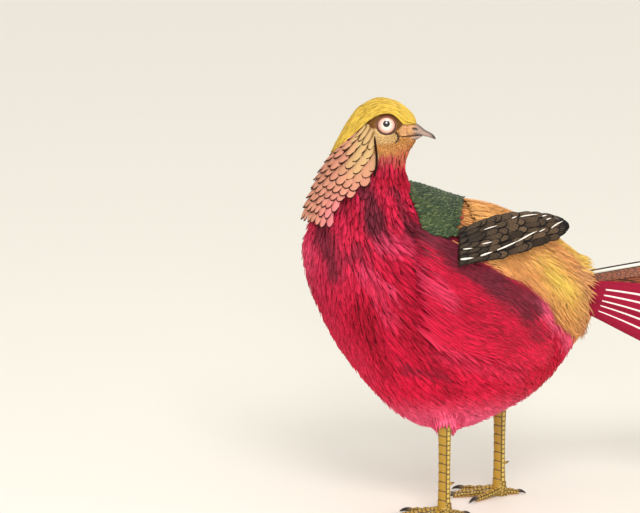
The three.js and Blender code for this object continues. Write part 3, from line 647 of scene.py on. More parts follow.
def makeSkin():
    bm = bmesh.new()
    ballMesh(bm, bodySurface, 64, 48, skinLook["bodyInset"])
    ballMesh(bm, headSurface, 48, 32, skinLook["headInset"])
    tube = bmesh.ops.create_cone(bm, cap_ends=True, segments=48, radius1=1, radius2=1, depth=2)["verts"]
    ends = set(tube)
    lengthwise = [e for e in bm.edges if e.verts[0] in ends and abs(e.verts[0].co.z - e.verts[1].co.z) > 1.9]
    bmesh.ops.subdivide_edges(bm, edges=lengthwise, cuts=skinLook["neckRings"])
    for v in filter(onUnitTube, bm.verts):
        rim = neckSurface(-v.co.z, math.atan2(v.co.y, v.co.x))
        middle = np.array([neckMiddleX(rim[2]), neckMiddleY(rim[2]), rim[2]])
        v.co = middle + (rim - middle) * (1 - skinLook["neckInset"])
    bmesh.ops.recalc_face_normals(bm, faces=bm.faces[:])
    mesh = bpy.data.meshes.new("rough")
    bm.to_mesh(mesh)
    bm.free()
    bm = oneSkin(mesh, skinLook["voxel"])
    joint = [v for v in bm.verts if skinLook["blendFrom"] < v.co.z < skinLook["blendTo"] and v.co.x < -15]
    relax(bm, joint, 0.5, skinLook["blend"])
    relax(bm, bm.verts[:], 0.5, 2)
    face = [e for e in bm.edges if all(v.co.z > skinLook["faceFrom"] for v in e.verts)]
    bmesh.ops.subdivide_edges(bm, edges=face, cuts=1, use_grid_fill=True)
    points, faces = readOut(bm)
    return narrowLores(sinkSockets(points)), faces


# The floor of each eye socket, a shallow dish behind the lids
def sinkSockets(points):
    head = inHead(points)
    near = fromSocket(head)
    out = np.abs(head[:, 1])
    floor = socket["rim"] - socket["dish"] * np.sqrt(np.maximum(0, 1 - (near / socket["radius"]) ** 2))
    inside = (near < socket["radius"]) & (out > 8)
    head[:, 1] = np.where(inside, np.sign(head[:, 1]) * np.minimum(out, floor), head[:, 1])
    return fromHead(head)


# The face grows narrower towards the bill, and swells a little at the cheek
def narrowLores(points):
    head = inHead(points)
    x, z = head[:, 0], head[:, 2]
    lores = smooth(9, 21, x) * smooth(-17, -11, z) * smooth(8, 1, z) * smooth(318, 322, points[:, 2])
    cheek = np.exp(-(((x + 3) / 9) ** 4 + ((z + 11.5) / 4.5) ** 2))
    front = smooth(6.5, 8, x) * smooth(-5, -8, z) * smooth(-20, -15, z)
    head[:, 1] *= 1 - 0.26 * lores + 0.08 * cheek - 0.05 * front
    head[:, 0] += 5.5 * smooth(2, 12, x) * np.exp(-((z + 19) / 6.5) ** 2)
    head[:, 0] -= 2.2 * smooth(0, 10, x) * np.exp(-((z + 40) / 9) ** 2)
    head[:, 2] -= 2.5 * smooth(12, 24, x) * smooth(-14, -4, z)
    return fromHead(head)


skinPoints, skinFaces = makeSkin()
skinTree = BVHTree.FromPolygons([Vector(p) for p in skinPoints], skinFaces.tolist())
# The skin takes the coat's colours darkened to 0.6–0.95, with a fine grain: painted shade under the feathers
skinMaterial = grainMaterial("shadedSkinDown", 0.85, 0.0, 900, 0.0005, shades=(0.6, 0.95), sheen=0.2, detail=2.0,
                             strength=0.5)
skin = meshFrom("skin", skinPoints, skinFaces, coatColour(skinPoints))
finishPiece(skin, skinMaterial, ("torso", "neck", "head", "rump"))
print("skin done", len(skinFaces))


# Roots spread evenly over the part of the skin that keep picks, no two nearer than their spacing
def scatter(wanted, spacing, seed, keep):
    draw = np.random.default_rng(seed)
    corners = skinPoints[skinFaces]
    cross = np.cross(corners[:, 1] - corners[:, 0], corners[:, 2] - corners[:, 0])
    area = np.linalg.norm(cross, axis=1) * keep(corners.mean(1))
    picked = draw.choice(len(area), wanted, p=area / area.sum())
    r1, r2 = np.sqrt(draw.random(wanted)), draw.random(wanted)
    weights = np.stack([1 - r1, r1 * (1 - r2), r1 * r2], -1)
    points = (corners[picked] * weights[..., None]).sum(1)
    cells = np.floor(points / spacing).astype(int).tolist()
    places = points.tolist()
    taken, kept = {}, []
    for i, (cx, cy, cz) in enumerate(cells):
        around = [(cx + dx, cy + dy, cz + dz) for dx in (-1, 0, 1) for dy in (-1, 0, 1) for dz in (-1, 0, 1)]
        if all(math.dist(places[i], places[j]) >= spacing for key in around for j in taken.get(key, ())):
            taken.setdefault((cx, cy, cz), []).append(i)
            kept.append(i)
    return points[kept], unit(cross[picked])[kept]


# The skin's nearest points, and its normals there
def nearestSkin(points):
    found = [skinTree.find_nearest(Vector(p)) for p in points]
    return np.array([hit[0] for hit in found]), np.array([hit[1] for hit in found])


# Feathers rooted anywhere on the skin: each bends from its root to the skin below its tip
def plantOnSkin(name, look, points, lengths, halves, tipLift, tints, wander=0.12, cup=0.4, rootLift=0.2):
    draw = np.random.default_rng(look["seed"])
    u, v, s, faces = look["shape"]
    roots, normals = nearestSkin(points)
    ways = coatLie(roots, normals)
    side = unit(np.cross(normals, ways))
    ways = unit(ways + side * draw.normal(0, wander, (len(points), 1)))
    tips, tipNormals = nearestSkin(roots + ways * lengths[:, None])
    bend = np.arccos(np.clip(np.sum(normals * tipNormals, -1), -1, 1))
    arch = 4 * (lengths * bend / 8)[:, None] * v * (1 - v)
    height = lerp(rootLift, tipLift[:, None], v) + arch - cup * u * u
    return layAlong(name, look, roots, tips, normals, tipNormals, halves, height, tints)


# Feathers from roots to tips, each turned to its own normals
def layAlong(name, look, roots, tips, normals, tipNormals, halves, height, tints):
    u, v, s, faces = look["shape"]
    t = v[None, :, None]
    middle = lerp(roots[:, None], tips[:, None], t)
    up = unit(lerp(normals[:, None], tipNormals[:, None], t))
    across = unit(np.cross(up, unit(tips - roots)[:, None]))
    height = height + s * look["thick"] / 2 * (1 - 0.5 * v)
    wide = halves[:, None] * look["outline"](v) * u
    coords = middle + up * height[..., None] + across * wide[..., None]
    return gather(name, look["shape"], coords, {"tint": tints, "bake": unwrapped(roots)})


# Body coat: rounded feathers below, and loose hair-like ones over them
softOutline = curve([[0, 0.35], [0.3, 0.85], [0.65, 1], [0.88, 0.7], [1, 0.16]])
strandOutline = curve([[0, 0.6], [0.3, 1], [0.7, 0.7], [1, 0.08]])
coatMaterial = featherMaterial("bodyPlumage", 9, roughness=0.7, sheen=0.02, variation=0.14, rootDark=0.2,
                               specular=0.12)
faceMaterial = featherMaterial("facePlumage", 4, roughness=0.75, variation=0.08, rootDark=0.1, specular=0.1)
strandMaterial = featherMaterial("looseBarbs", 3, roughness=0.65, sheen=0.03, variation=0.06, rootDark=0.12,
                                 tipPale=0.15, specular=0.14)
eyeClear = {"up": -0.7, "radius": 9.2}  # the bare ring round the eye


def inRed(p):
    return (p[:, 0] < goldFrom(p[:, 2]) + 6) & (p[:, 2] < 322)


def inGold(p):
    return (p[:, 0] > goldFrom(p[:, 2]) + 3) & (p[:, 2] < 300)


def onFace(p):
    head = inHead(p)
    bare = np.hypot(head[:, 0] - socket["x"], head[:, 2] - eyeClear["up"]) <= eyeClear["radius"]
    return (p[:, 2] >= 318) & ~bare & (head[:, 0] < 24)


def breastLength(p):
    return lerp(12, 23, smooth(305, 220, p[:, 2]))


coatLooks = {
    "breastFeathers": {
        "seed": 11, "spacing": 4.4, "length": breastLength, "half": 2.7, "lift": 3.2, "thick": 0.35,
        "vary": 0.08, "shape": vaneShape(4, 4), "outline": softOutline, "material": coatMaterial,
        "slot": "crimson", "keep": inRed},
    "breastBarbs": {
        "seed": 12, "spacing": 2.7, "length": lambda p: 0.9 * breastLength(p), "half": 0.75, "lift": 4.6,
        "thick": 0.35, "vary": 0.12, "shape": vaneShape(3, 3), "outline": strandOutline,
        "material": strandMaterial, "slot": "crimson", "keep": inRed},
    "rumpDown": {
        "seed": 13, "spacing": 4.0, "length": lambda p: 22 + 0 * p[:, 0], "half": 1.7, "lift": 3.0,
        "thick": 0.35, "vary": 0.1, "shape": vaneShape(4, 4), "outline": softOutline,
        "material": strandMaterial, "slot": "golden", "keep": inGold},
    "faceFeathers": {
        "seed": 21, "spacing": 1.1, "length": lambda p: lerp(2.6, 5.0, smooth(345, 322, p[:, 2])),
        "half": 0.62, "lift": 1.0, "thick": 0.2, "vary": 0.04, "shape": vaneShape(4, 2),
        "outline": softOutline, "material": faceMaterial, "slot": "ochre", "keep": onFace},
}


def bodyCoat(name, look):
    wanted = int(40000 * (4 / look["spacing"]) ** 1.2)
    points, normals = scatter(wanted, look["spacing"], look["seed"], look["keep"])
    draw = np.random.default_rng(look["seed"] + 100)
    lengths = look["length"](points) * draw.uniform(0.85, 1.2, len(points))
    halves = look["half"] * draw.uniform(0.8, 1.2, len(points))
    lifts = look["lift"] * draw.uniform(0.75, 1.15, len(points))
    if look["slot"] == "crimson":
        lifts *= lerp(1, 0.5, smooth(285, 308, points[:, 2]))
    seen = points + coatLie(points, normals) * (0.6 * lengths)[:, None]
    tints = toned(coatColour(seen), draw, look["vary"])
    piece = plantOnSkin(name, look, points, lengths, halves, lifts, tints)
    finishPiece(piece, look["material"])
    print(name, len(points), "feathers")


for label, side in (("left", -1), ("right", 1)):
    ownSide = lambda p, k=side: inRed(p) & (p[:, 1] * k > 0)
    for name in ("breastFeathers", "breastBarbs"):
        bodyCoat(name + "_" + label, {**coatLooks[name], "keep": ownSide})
for name in ("rumpDown", "faceFeathers"):
    bodyCoat(name, coatLooks[name])
print("body coat done")


# A line through points, as a function of the share of its length, and the way it runs there
def pathThrough(points):
    points = np.array(points, float)
    ends = np.vstack([2 * points[0] - points[1], points, 2 * points[-1] - points[-2]])
    t = np.linspace(0, 1, 30, endpoint=False)[:, None]
    dense = []
    for i in range(len(points) - 1):
        p0, p1, p2, p3 = ends[i:i + 4]
        dense.append(0.5 * (2 * p1 + (p2 - p0) * t + (2 * p0 - 5 * p1 + 4 * p2 - p3) * t ** 2
                            + (3 * p1 - p0 - 3 * p2 + p3) * t ** 3))
    dense = np.vstack(dense + [points[-1:]])
    reach = np.r_[0, np.cumsum(np.linalg.norm(np.diff(dense, axis=0), axis=1))]
    reach /= reach[-1]

    def at(share):
        return np.stack([np.interp(share, reach, dense[:, k]) for k in range(dense.shape[1])], -1)

    def run(share):
        return unit(at(np.clip(share + 0.004, 0, 1)) - at(np.clip(share - 0.004, 0, 1)))

    return at, run


# Rows of feathers over part of a surface, in brick order. spread is how far round each row reaches.
def rowsOn(surface, look, seed, tintAt):
    draw = np.random.default_rng(seed)
    low, high = look["along"]
    pitch = (high - low) / look["rows"]
    count, tiltEnd = look["count"], look.get("tiltEnd", 0.3)
    made = []
    for row in range(look["rows"]):
        start = low + row * pitch
        places = (np.arange(count + row % 2) + (0 if row % 2 else 0.5)) / count
        tilt = 0 * places
        for _ in range(4):
            reach = np.radians(look["spread"](start + pitch / 2 + tilt))
            b = lerp(-reach, reach, places)
            tilt = 0.5 * tilt + 0.5 * look["tilt"] * np.abs(b) * lerp(1, tiltEnd, row / look["rows"])
        step = 2 * reach / count
        b = b + draw.normal(0, 0.04, len(places)) * step
        middle = np.linalg.norm(surface(start + tilt, b + 1e-3) - surface(start + tilt, b), axis=-1) / 1e-3
        tips = start + pitch * (1 + draw.normal(0, 0.06, len(places)))
        lift = look["lift"](start) * draw.uniform(0.9, 1.06, len(places))
        lift = lift * (1 - look["sideLift"] * smooth(0.3, 1.3, np.abs(b)))
        made.append(featherRows(start - look["hidden"] * pitch + tilt, b, tips + tilt,
                                b + draw.normal(0, 0.01, len(b)), look["cover"] * middle * step / 2,
                                look["low"] * lift + 0.3, lift, look["thick"]))
    rows = {key: np.concatenate([row[key] for row in made]) for key in rowKeys}
    tips = surface(rows["a1"], rows["b1"])
    if "keep" in look:
        kept = look["keep"](tips)
        rows, tips = {key: value[kept] for key, value in rows.items()}, tips[kept]
    rows["tint"] = toned(tintAt(tips, rows), draw, look["vary"])
    rows["bake"] = unwrapped(surface(rows["a0"], rows["b0"]))
    return rows


# Cape: broad square-ended feathers down the nape, each with a dark end
capeSpread = curve([[-1, 54], [-0.9, 61], [-0.7, 72], [-0.5, 80], [-0.35, 81], [-0.25, 75], [-0.1, 62],
                    [0, 55], [0.1, 47], [0.2, 43], [0.45, 40]])
capeLook = {"along": (-1.25, 0.36), "rows": 12, "count": 12, "cover": 1.2, "hidden": 0.9, "thick": 0.45,
            "vary": 0.04, "low": 0.5, "tilt": 0.3, "sideLift": 0.45, "spread": capeSpread,
            "lift": curve([[-1, 5.5], [-0.8, 7.6], [-0.4, 9.0], [0, 7.9], [0.5, 7.2]]),
            "keep": lambda tips: tips[:, 2] < 334}
roundFrom = 0.68  # where the half-round end of a scale starts


def scallopOutline(v):
    end = np.sqrt(np.maximum(0.02, 1 - ((v - roundFrom) / (1 - roundFrom)) ** 2))
    return np.where(v < roundFrom, lerp(0.6, 1, v / roundFrom), end)


def capeTint(tips, rows):
    across, z = np.abs(rows["b1"]), tips[:, 2]
    cheek = smooth(0.55, 0.95, across + 0.45 * smooth(312, 328, z))
    cheek = cheek * smooth(296, 318, z + 8 * smooth(1.45, 1.0, across))
    tone = mixed(tinted("salmon", len(z)), "cheek", cheek)
    # Up to 12 % lighter low on the cape, where it turns under: painted light against the shade there
    tone = tone * (1 + 0.12 * smooth(300, 265, z))[:, None]
    return mixed(tone, "rose", 0.8 * smooth(290, 262, z) * smooth(0.3, 0.9, across))


capeMaterial = featherMaterial("capeFeather", 12, roughness=0.7, edge="ink", edgeSide=0.18, capFrom=roundFrom,
                               sideFrom=0.66, variation=0.08, rootDark=0.12, specular=0.12)
capeRows = rowsOn(neckSurface, capeLook, 31, capeTint)
cape = plant("capeFeathers", bladeShape(6, 9, 1.9), neckSurface, capeRows, scallopOutline, cup=0.9)
finishPiece(cape, capeMaterial, ("cape",))

# A narrow dark line of small feathers down the front edge of the cape, on both sides
hemLook = {"low": -0.84, "high": -0.4, "count": 30, "half": 0.85, "ahead": 6, "back": 0.05, "front": 0.1,
           "liftRoot": 3.4, "liftTip": 6.0, "thick": 0.5}


def hemAround(a):
    return np.radians(capeSpread(a) + hemLook["ahead"])


for name, side in (("capeHemLeft", 1), ("capeHemRight", -1)):
    middle = np.linspace(hemLook["low"], hemLook["high"], hemLook["count"])
    root, tip = middle - hemLook["back"], middle + hemLook["front"]
    rows = featherRows(root, side * hemAround(root), tip, side * hemAround(tip), hemLook["half"],
                       hemLook["liftRoot"], hemLook["liftTip"], hemLook["thick"])
    rows["tint"] = tinted("hem", len(middle))
    rows["bake"] = unwrapped(neckSurface(rows["a0"], rows["b0"]))
    finishPiece(plant(name, vaneShape(4, 4), neckSurface, rows, softOutline), faceMaterial)
print("cape done", len(capeRows["half"]))

# Mantle: rounded metallic feathers like scales, flecked with short pale strokes
mantleLook = {"along": (-0.33, 0.08), "rows": 14, "count": 26, "cover": 1.3, "hidden": 1.2, "thick": 0.4,
              "vary": 0.12, "low": 0.1, "tilt": 0.1, "tiltEnd": -2.2, "sideLift": 0,
              "spread": curve([[-0.33, 46], [-0.15, 45], [0.08, 38]]), "lift": curve([[-1, 3.8], [1, 4.6]])}
roundOutline = curve([[0, 0.5], [0.4, 0.95], [0.7, 1], [0.88, 0.75], [1, 0.2]])


def mantleTint(tips, rows):
    return mixed(tinted("green", len(tips)), "moss", 0.5 * smooth(-0.2, 1, streaks(tips, 5, 8)))


def fleckPattern(tree, colour, across, along, fromShaft):
    flecks = noiseNode(tree, 620, 1, stretch=(0.4, 1, 1.2))
    return mixColour(tree, ramp(tree, flecks, (0.54, 0.0), (0.66, 0.6)), colour, palette["fleck"])


mantleMaterial = featherMaterial("mantleFeather", 8, sheen=0.1, edge="rim", edgeFrom=0.92, edgeSide=0.86,
                                 sideFrom=0.6, variation=0.3, specular=0.3, pattern=fleckPattern)
mantleRows = rowsOn(bodySurface, mantleLook, 33, mantleTint)
mantle = plant("mantleFeathers", bladeShape(4, 6), bodySurface, mantleRows, roundOutline, cup=0.6)
finishPiece(mantle, mantleMaterial, ("mantle",))
print("mantle done", len(mantleRows["half"]))


# Strands strewn over part of a surface, all ending before the look's end
def strewn(surface, look, count, seed):
    draw = np.random.default_rng(seed)
    a0 = draw.uniform(*look["along"], count)
    b0 = draw.uniform(-1, 1, count) * np.radians(look["spread"](a0))
    ragged = draw.normal(0, look["ragged"], count)
    a1 = np.minimum(a0 + look["length"] * draw.uniform(0.75, 1.25, count), look["end"] + ragged)
    b1 = b0 + draw.normal(0, look["wander"], count)
    half = look["half"] * draw.uniform(0.7, 1.3, count)
    liftRoot, liftTip = draw.uniform(*look["root"], count), draw.uniform(*look["lift"], count)
    rows = featherRows(a0, b0, np.maximum(a1, a0 + 0.05), b1, half, liftRoot, liftTip, look["thick"])
    rows["bake"] = unwrapped(surface(a0, b0))
    return rows, draw


# Back and rump: long hair-like feathers that run out over the root of the tail
rumpFront, rumpBack, rumpBend = -30.0, 124.0, 96.0
rumpLook = {"along": (-0.72, 0.62), "end": 2, "ragged": 0.02, "length": 0.3, "half": 1.0, "root": (0.2, 2.2),
            "lift": (2.2, 5.2), "thick": 0.45, "vary": 0.12, "wander": 0.05,
            "spread": curve([[-0.66, 46], [-0.4, 58], [-0.2, 70], [0, 79], [0.27, 94], [0.45, 106],
                             [0.8, 120]])}


def rumpSurface(along, around):
    x = lerp(rumpFront, rumpBack, (along + 1) / 2)
    beyond = np.maximum(0, x - rumpBend) / 100
    point = bodySurface(bodyAlong(np.minimum(x, rumpBend)), around)
    return stack3(x, point[..., 1] * (1 - beyond), lerp(point[..., 2], 186, beyond))


# Low on the side the strands bend down, and all end in a ragged line before the tail
def bendRump(rows):
    draw = np.random.default_rng(36)
    low = smooth(0.4, 1.3, np.abs(rows["b0"]))
    reach = (rows["a1"] - rows["a0"]) * (1 - 0.5 * low)
    rows["b1"] = rows["b1"] + np.sign(rows["b0"]) * (0.03 + 0.36 * low)
    end = 0.74 - 0.16 * smooth(1.3, 2.3, np.abs(rows["b1"])) + draw.normal(0, 0.035, len(reach))
    rows["a1"] = np.maximum(np.minimum(rows["a0"] + reach, end), rows["a0"] + 0.05)
    tips = rumpSurface(rows["a1"], rows["b1"])
    rows["tint"] = toned(goldTone(tips), draw, rumpLook["vary"])
    kept = tips[:, 0] > goldFrom(tips[:, 2]) + draw.uniform(-1, 5, len(tips))
    return {key: value[kept] for key, value in rows.items()}


hairMaterial = featherMaterial("rumpHair", 4, roughness=0.65, sheen=0.03, variation=0.08, rootDark=0.15,
                               tipPale=0.1, specular=0.15)
rumpRows = bendRump(strewn(rumpSurface, rumpLook, 5800, 35)[0])
rump = plant("rumpLocks", vaneShape(3, 5), rumpSurface, rumpRows, strandOutline)
finishPiece(rump, hairMaterial, ("rump_locks",))
print("rump done")

# Shoulders and flanks: long soft feathers round the wing's root, one with the breast
shoulderLook = {"along": (-0.36, 0.44), "end": 0.56, "ragged": 0.02, "length": 0.2, "half": 1.0,
                "root": (0.5, 2.2), "lift": (2.8, 3.8), "thick": 0.4, "vary": 0.1, "wander": 0.03,
                "spread": lambda a: 26}
for name, side in (("shoulder_left", -1), ("shoulder_right", 1)):
    rows, _ = strewn(bodySurface, shoulderLook, 2400, 37)
    middle = side * np.radians(74 + 8 * rows["a0"])
    rows["b0"] = rows["b0"] + middle
    rows["b1"] = rows["b1"] + middle + side * (0.11 + 0.24 * smooth(-0.05, 0.35, rows["a0"]))
    tips = bodySurface(rows["a1"], rows["b1"])
    rows["tint"] = toned(coatColour(tips), np.random.default_rng(38), shoulderLook["vary"])
    rows["bake"] = unwrapped(bodySurface(rows["a0"], rows["b0"]))
    piece = plant(name + "Feathers", vaneShape(4, 4), bodySurface, rows, softOutline)
    finishPiece(piece, strandMaterial, (name,))
print("shoulders done")

# Crest: silky strands from the bill's base over the crown to the nape, in the head's frame
crestTop, _ = pathThrough([[25.6, -0.6], [23.4, 6], [18.6, 11.6], [11, 17], [3.5, 20.2], [-6.6, 21.9],
                           [-13, 20.6], [-19.5, 17.4], [-27, 12.2], [-33, 4.3], [-38.8, -5.2],
                           [-45.2, -17.4], [-49.5, -25.5]])
crestSide, _ = pathThrough([[24.5, 6, -1], [20, 8.5, -0.8], [16.6, 10.5, -0.6], [13, 12.5, 0.4],
                            [11, 13.6, 2.6], [6.7, 15, 6.9], [2, 15.8, 9.5], [-2, 16.1, 10],
                            [-7.8, 16.5, 9], [-12.1, 16.7, 7], [-17.6, 16.5, 3.8], [-21.8, 16, -0.4],
                            [-28.7, 14.5, -7.1], [-35.9, 12.5, -14.6], [-42, 10, -20.8], [-47, 7, -27]])


def crestSurface(along, around):
    share = np.clip((along + 1) / 2, 0, 1) + 0 * around
    top, edge = crestTop(share), crestSide(share)
    drop = 1 - np.cos(around)
    x = lerp(top[..., 0], edge[..., 0], drop)
    z = lerp(top[..., 1], edge[..., 2], drop)
    return fromHead(stack3(x, -edge[..., 1] * np.sin(around), z))


crestLook = {"along": (-0.99, 0.5), "end": 0.9, "ragged": 0.06, "length": 0.6, "half": 1.1,
             "root": (-2.6, -1.0), "lift": (-1.2, 0.1), "thick": 0.5, "vary": 0.03, "wander": 0.02,
             "spread": lambda a: 88}
crestMaterial = featherMaterial("crestSilk", 3, roughness=0.5, sheen=0.05, variation=0.06, rootDark=0.08,
                                specular=0.3)
crestRows, draw = strewn(crestSurface, crestLook, 2300, 41)
crestRows["tint"] = toned(tinted("yellow", 2300), draw, crestLook["vary"])
crest = plant("crestSilk", vaneShape(4, 8), crestSurface, crestRows, strandOutline)
finishPiece(crest, crestMaterial, ("crest",))
print("crest done")


# Eyes: a glossy ball with a pale iris, and a dark pupil a little above its middle
eyeLook = {"radius": 9.5, "flat": 0.7, "side": 11.0, "pupil": 2.95, "pupilUp": 1.5, "iris": 7.6, "span": 20.0,
           "at": np.array([-1.85, 0, -0.3]), "tones": ("f8ece4", "ecccbf", "cf9a8a", "6a3a2c"),
           "fibres": ("c99a88", "ffffff")}


def shiftPoints(bm, place):
    co = place(np.array([v.co for v in bm.verts]))
    for v, p in zip(bm.verts, co):
        v.co = p


def makeEyeMaterial():
    material, tree, shader = newMaterial("eyeGloss", roughness=0.3, coat=1.0, specular=0.1)
    shader.inputs["Coat Roughness"].default_value = 0.03
    shader.inputs["Coat IOR"].default_value = 1.6
    aside, up = mapParts(tree, "Iris")
    across = maths(tree, "SUBTRACT", aside, 0.5)

    def distance(upward):
        squares = [maths(tree, "MULTIPLY", side, side) for side in (across, upward)]
        return maths(tree, "SQRT", maths(tree, "ADD", *squares))

    upward = maths(tree, "SUBTRACT", up, 0.5)
    fromPupil = distance(maths(tree, "SUBTRACT", up, 0.5 + eyeLook["pupilUp"] / eyeLook["span"]))
    fibres = addNode(tree, "ShaderNodeTexNoise", noise_dimensions="1D")
    fibres.inputs["Scale"].default_value = 9
    fibres.inputs["Detail"].default_value = 4
    tree.links.new(maths(tree, "ARCTAN2", upward, across), fibres.inputs["W"])
    edge, rim = eyeLook["pupil"] / eyeLook["span"], eyeLook["iris"] / eyeLook["span"]
    tones = [rgb(code) for code in eyeLook["tones"]]
    iris = ramp(tree, distance(upward), *zip((0.1, rim * 0.6, rim * 0.88, rim), tones))
    streak = ramp(tree, fibres.outputs[0], *zip((0.35, 0.6), [rgb(code) for code in eyeLook["fibres"]]))
    colour = mixColour(tree, 0.35, iris, multiplied(tree, iris, streak))
    pupil = ramp(tree, fromPupil, (edge - 0.006, 1.0), (edge + 0.006, 0.0))
    tree.links.new(mixColour(tree, pupil, colour, palette["pupil"]), shader.inputs["Base Color"])
    return material


def makeEye(name, side, material):
    bm = bmesh.new()
    bmesh.ops.create_uvsphere(bm, u_segments=64, v_segments=48, radius=eyeLook["radius"])
    forward = Matrix.Rotation(math.radians(90), 3, "X")
    bmesh.ops.rotate(bm, verts=bm.verts[:], cent=(0, 0, 0), matrix=forward)
    out = [0, side * eyeLook["side"], 0]
    shiftPoints(bm, lambda p: fromHead(p * [1, eyeLook["flat"], 1] + eyeLook["at"] + out))
    co, faces = readOut(bm)
    iris = (inHead(co) - eyeLook["at"])[:, [0, 2]] / eyeLook["span"] + 0.5
    piece = meshFrom(name + "Ball", co, faces, np.ones((len(co), 3)), {"Iris": iris})
    finishPiece(piece, material, (name,))


# Lids: a dark granular ring round each eye, thicker below
lidLook = {"radius": 8.35, "half": 0.8, "out": 15.2, "oval": 0.9, "bow": 0.35, "grains": 44,
           "at": np.array([-1.85, 0, -0.95])}


def grainyRing(p, side):
    turn = np.arctan2(p[:, 2], p[:, 0])
    middle = stack3(np.cos(turn), 0, np.sin(turn)) * lidLook["radius"]
    bumps = 1 + 0.1 * np.sin(lidLook["grains"] * turn + 3 * p[:, 1]) + 0.2 * np.maximum(0, -np.sin(turn))
    x, y, z = (middle + (p - middle) * bumps[:, None]).T
    bow = lidLook["bow"] * np.square(x / lidLook["radius"])
    return fromHead(stack3(x, side * (y + lidLook["out"] - bow), z * lidLook["oval"]) + lidLook["at"])


def makeLid(name, side, material):
    bm = bmesh.new()
    bmesh.ops.create_circle(bm, segments=16, radius=lidLook["half"])
    bmesh.ops.translate(bm, verts=bm.verts[:], vec=(lidLook["radius"], 0, 0))
    bmesh.ops.spin(bm, geom=bm.verts[:] + bm.edges[:], cent=(0, 0, 0), axis=(0, 1, 0), angle=2 * math.pi,
                   steps=120, use_merge=True)
    bmesh.ops.recalc_face_normals(bm, faces=bm.faces[:])
    shiftPoints(bm, lambda p: grainyRing(p, side))
    co, faces = readOut(bm)
    x, _, z = (inHead(co) - lidLook["at"]).T
    inner = smooth(8.3, 7.7, np.hypot(x, z / lidLook["oval"]))
    tone = mixed(tinted("lid", len(co)), "dark", 0.8 * inner + 0.5 * smooth(0, -6, z))
    finishPiece(meshFrom(name, co, faces, tone), material)


eyeMaterial = makeEyeMaterial()
lidMaterial = grainMaterial("lidSkin", 0.6, 0.0, 2200, 0.0002)
for label, side in (("left", 1), ("right", -1)):
    makeEye("eye_" + label, side, eyeMaterial)
    makeLid("lid_" + label, side, lidMaterial)

# Bill: upper and lower, each from inside the face to its tip
gapeZ = curve([[8, -10.2], [16, -10.6], [22, -10.1], [28, -10.4], [31, -11.6], [34.3, -12.3], [38, -13.6],
               [41, -14.6]])
culmenZ = curve([[8, 6.5], [16, 3.2], [22, 0.9], [25, -0.8], [28.2, -3.3], [31.2, -5.8], [34.3, -7.5],
                 [37.3, -9.2], [39.8, -11.5], [41, -14.2]])
billWidth = curve([[8, 9.6], [18, 7.4], [28, 4.7], [36, 2.7], [41, 0.5]])
chinZ = curve([[8, -16.5], [20, -15.6], [24, -14.8], [29.5, -11.6]])
billLook = {"root": 8, "tips": {"bill_upper": 41, "bill_lower": 29.5}}
nostril = {"x": 22.9, "z": -4.6, "long": 2.5, "high": 1.0, "slope": 0.28}


def nearNostril(x, z):
    back = x - nostril["x"]
    return np.hypot(back / nostril["long"], (z - nostril["z"] + nostril["slope"] * back) / nostril["high"])


def billTone(p):
    head = inHead(p)
    x, z = head[:, 0], head[:, 2]
    tone = mixed(tinted("horn", len(p)), "ochre", 0.75 * smooth(25, 18, x - 0.3 * (z + 8)))
    tone = mixed(tone, "umber", 0.4 * smooth(3.6, 0.6, culmenZ(x) - z))
    tone = tone * (1 + 0.05 * streaks(p * [3, 1, 3], 4, 12))[:, None]
    for share in (0.8 * smooth(1.3, 0.2, culmenZ(x) - z) * smooth(24, 30, x),
                  0.9 * smooth(35.5, 40, x),
                  0.75 * smooth(0.9, 0.2, np.abs(z - gapeZ(x))),
                  0.92 * smooth(1.25, 0.8, nearNostril(x, z))):
        tone = mixed(tone, "dark", share)
    return tone


def makeBill(name, topZ, bottomZ, material):
    turn, along, faces = tubeShape(56, 80)
    x = lerp(billLook["root"], billLook["tips"][name], along ** 0.85)
    top, bottom = topZ(x), bottomZ(x)
    up = np.cos(turn)
    out = np.sign(np.sin(turn)) * np.abs(np.sin(turn)) ** 0.9
    upper = name == "bill_upper"
    if upper:
        rise = np.where(up > 0, up, -np.abs(up) ** 0.45)
        wide = billWidth(x) * (1 - 0.22 * np.maximum(0, up) ** 1.5)
    else:
        rise = np.where(up < 0, up, np.abs(up) ** 0.45)
        wide = 0.93 * billWidth(x) * (1 - 0.3 * np.maximum(0, -up))
    z = (top + bottom) / 2 + (top - bottom) / 2 * rise
    hole = smooth(1.1, 0.4, nearNostril(x, z))
    flap = np.exp(-(((x - nostril["x"] + 1) / 3) ** 2 + ((z - nostril["z"] - 2.2) / 1.6) ** 2))
    y = wide * out + np.sign(out) * (0.55 * flap - 1.3 * hole) * upper
    coords = fromHead(stack3(x, y, z))
    piece = meshFrom(name.replace("_", "") + "Horn", coords, faces, billTone(coords))
    finishPiece(piece, material, (name,))


hornMaterial = grainMaterial("billHorn", 0.38, 0.25, 900, 0.0001)
makeBill("bill_upper", culmenZ, lambda x: gapeZ(x) + 0.1, hornMaterial)
makeBill("bill_lower", lambda x: gapeZ(x) - 0.35, chinZ, hornMaterial)

# Creases of the face: the corner of the mouth, and the round front of the cheek, whose dark line is painted
# shade of the crease
cheekTurns = np.radians([58, 40, 20, 0, -20, -40, -58])
cheekArc = np.stack([cheekFront["x"] + cheekFront["long"] * np.cos(cheekTurns),
                     cheekFront["z"] + cheekFront["high"] * np.sin(cheekTurns)], -1)
creaseLook = {"mouth": {"line": [[9.4, -10.2], [14, -10.6], [20, -10.3], [26, -10.2]], "half": 0.45,
                        "grow": lambda along: np.sqrt(np.clip(along * 3, 0.1, 1))},
              "cheek": {"line": cheekArc, "half": 0.8,
                        "grow": lambda along: np.sin(np.pi * np.clip(along, 0.03, 0.97)) ** 0.8}}


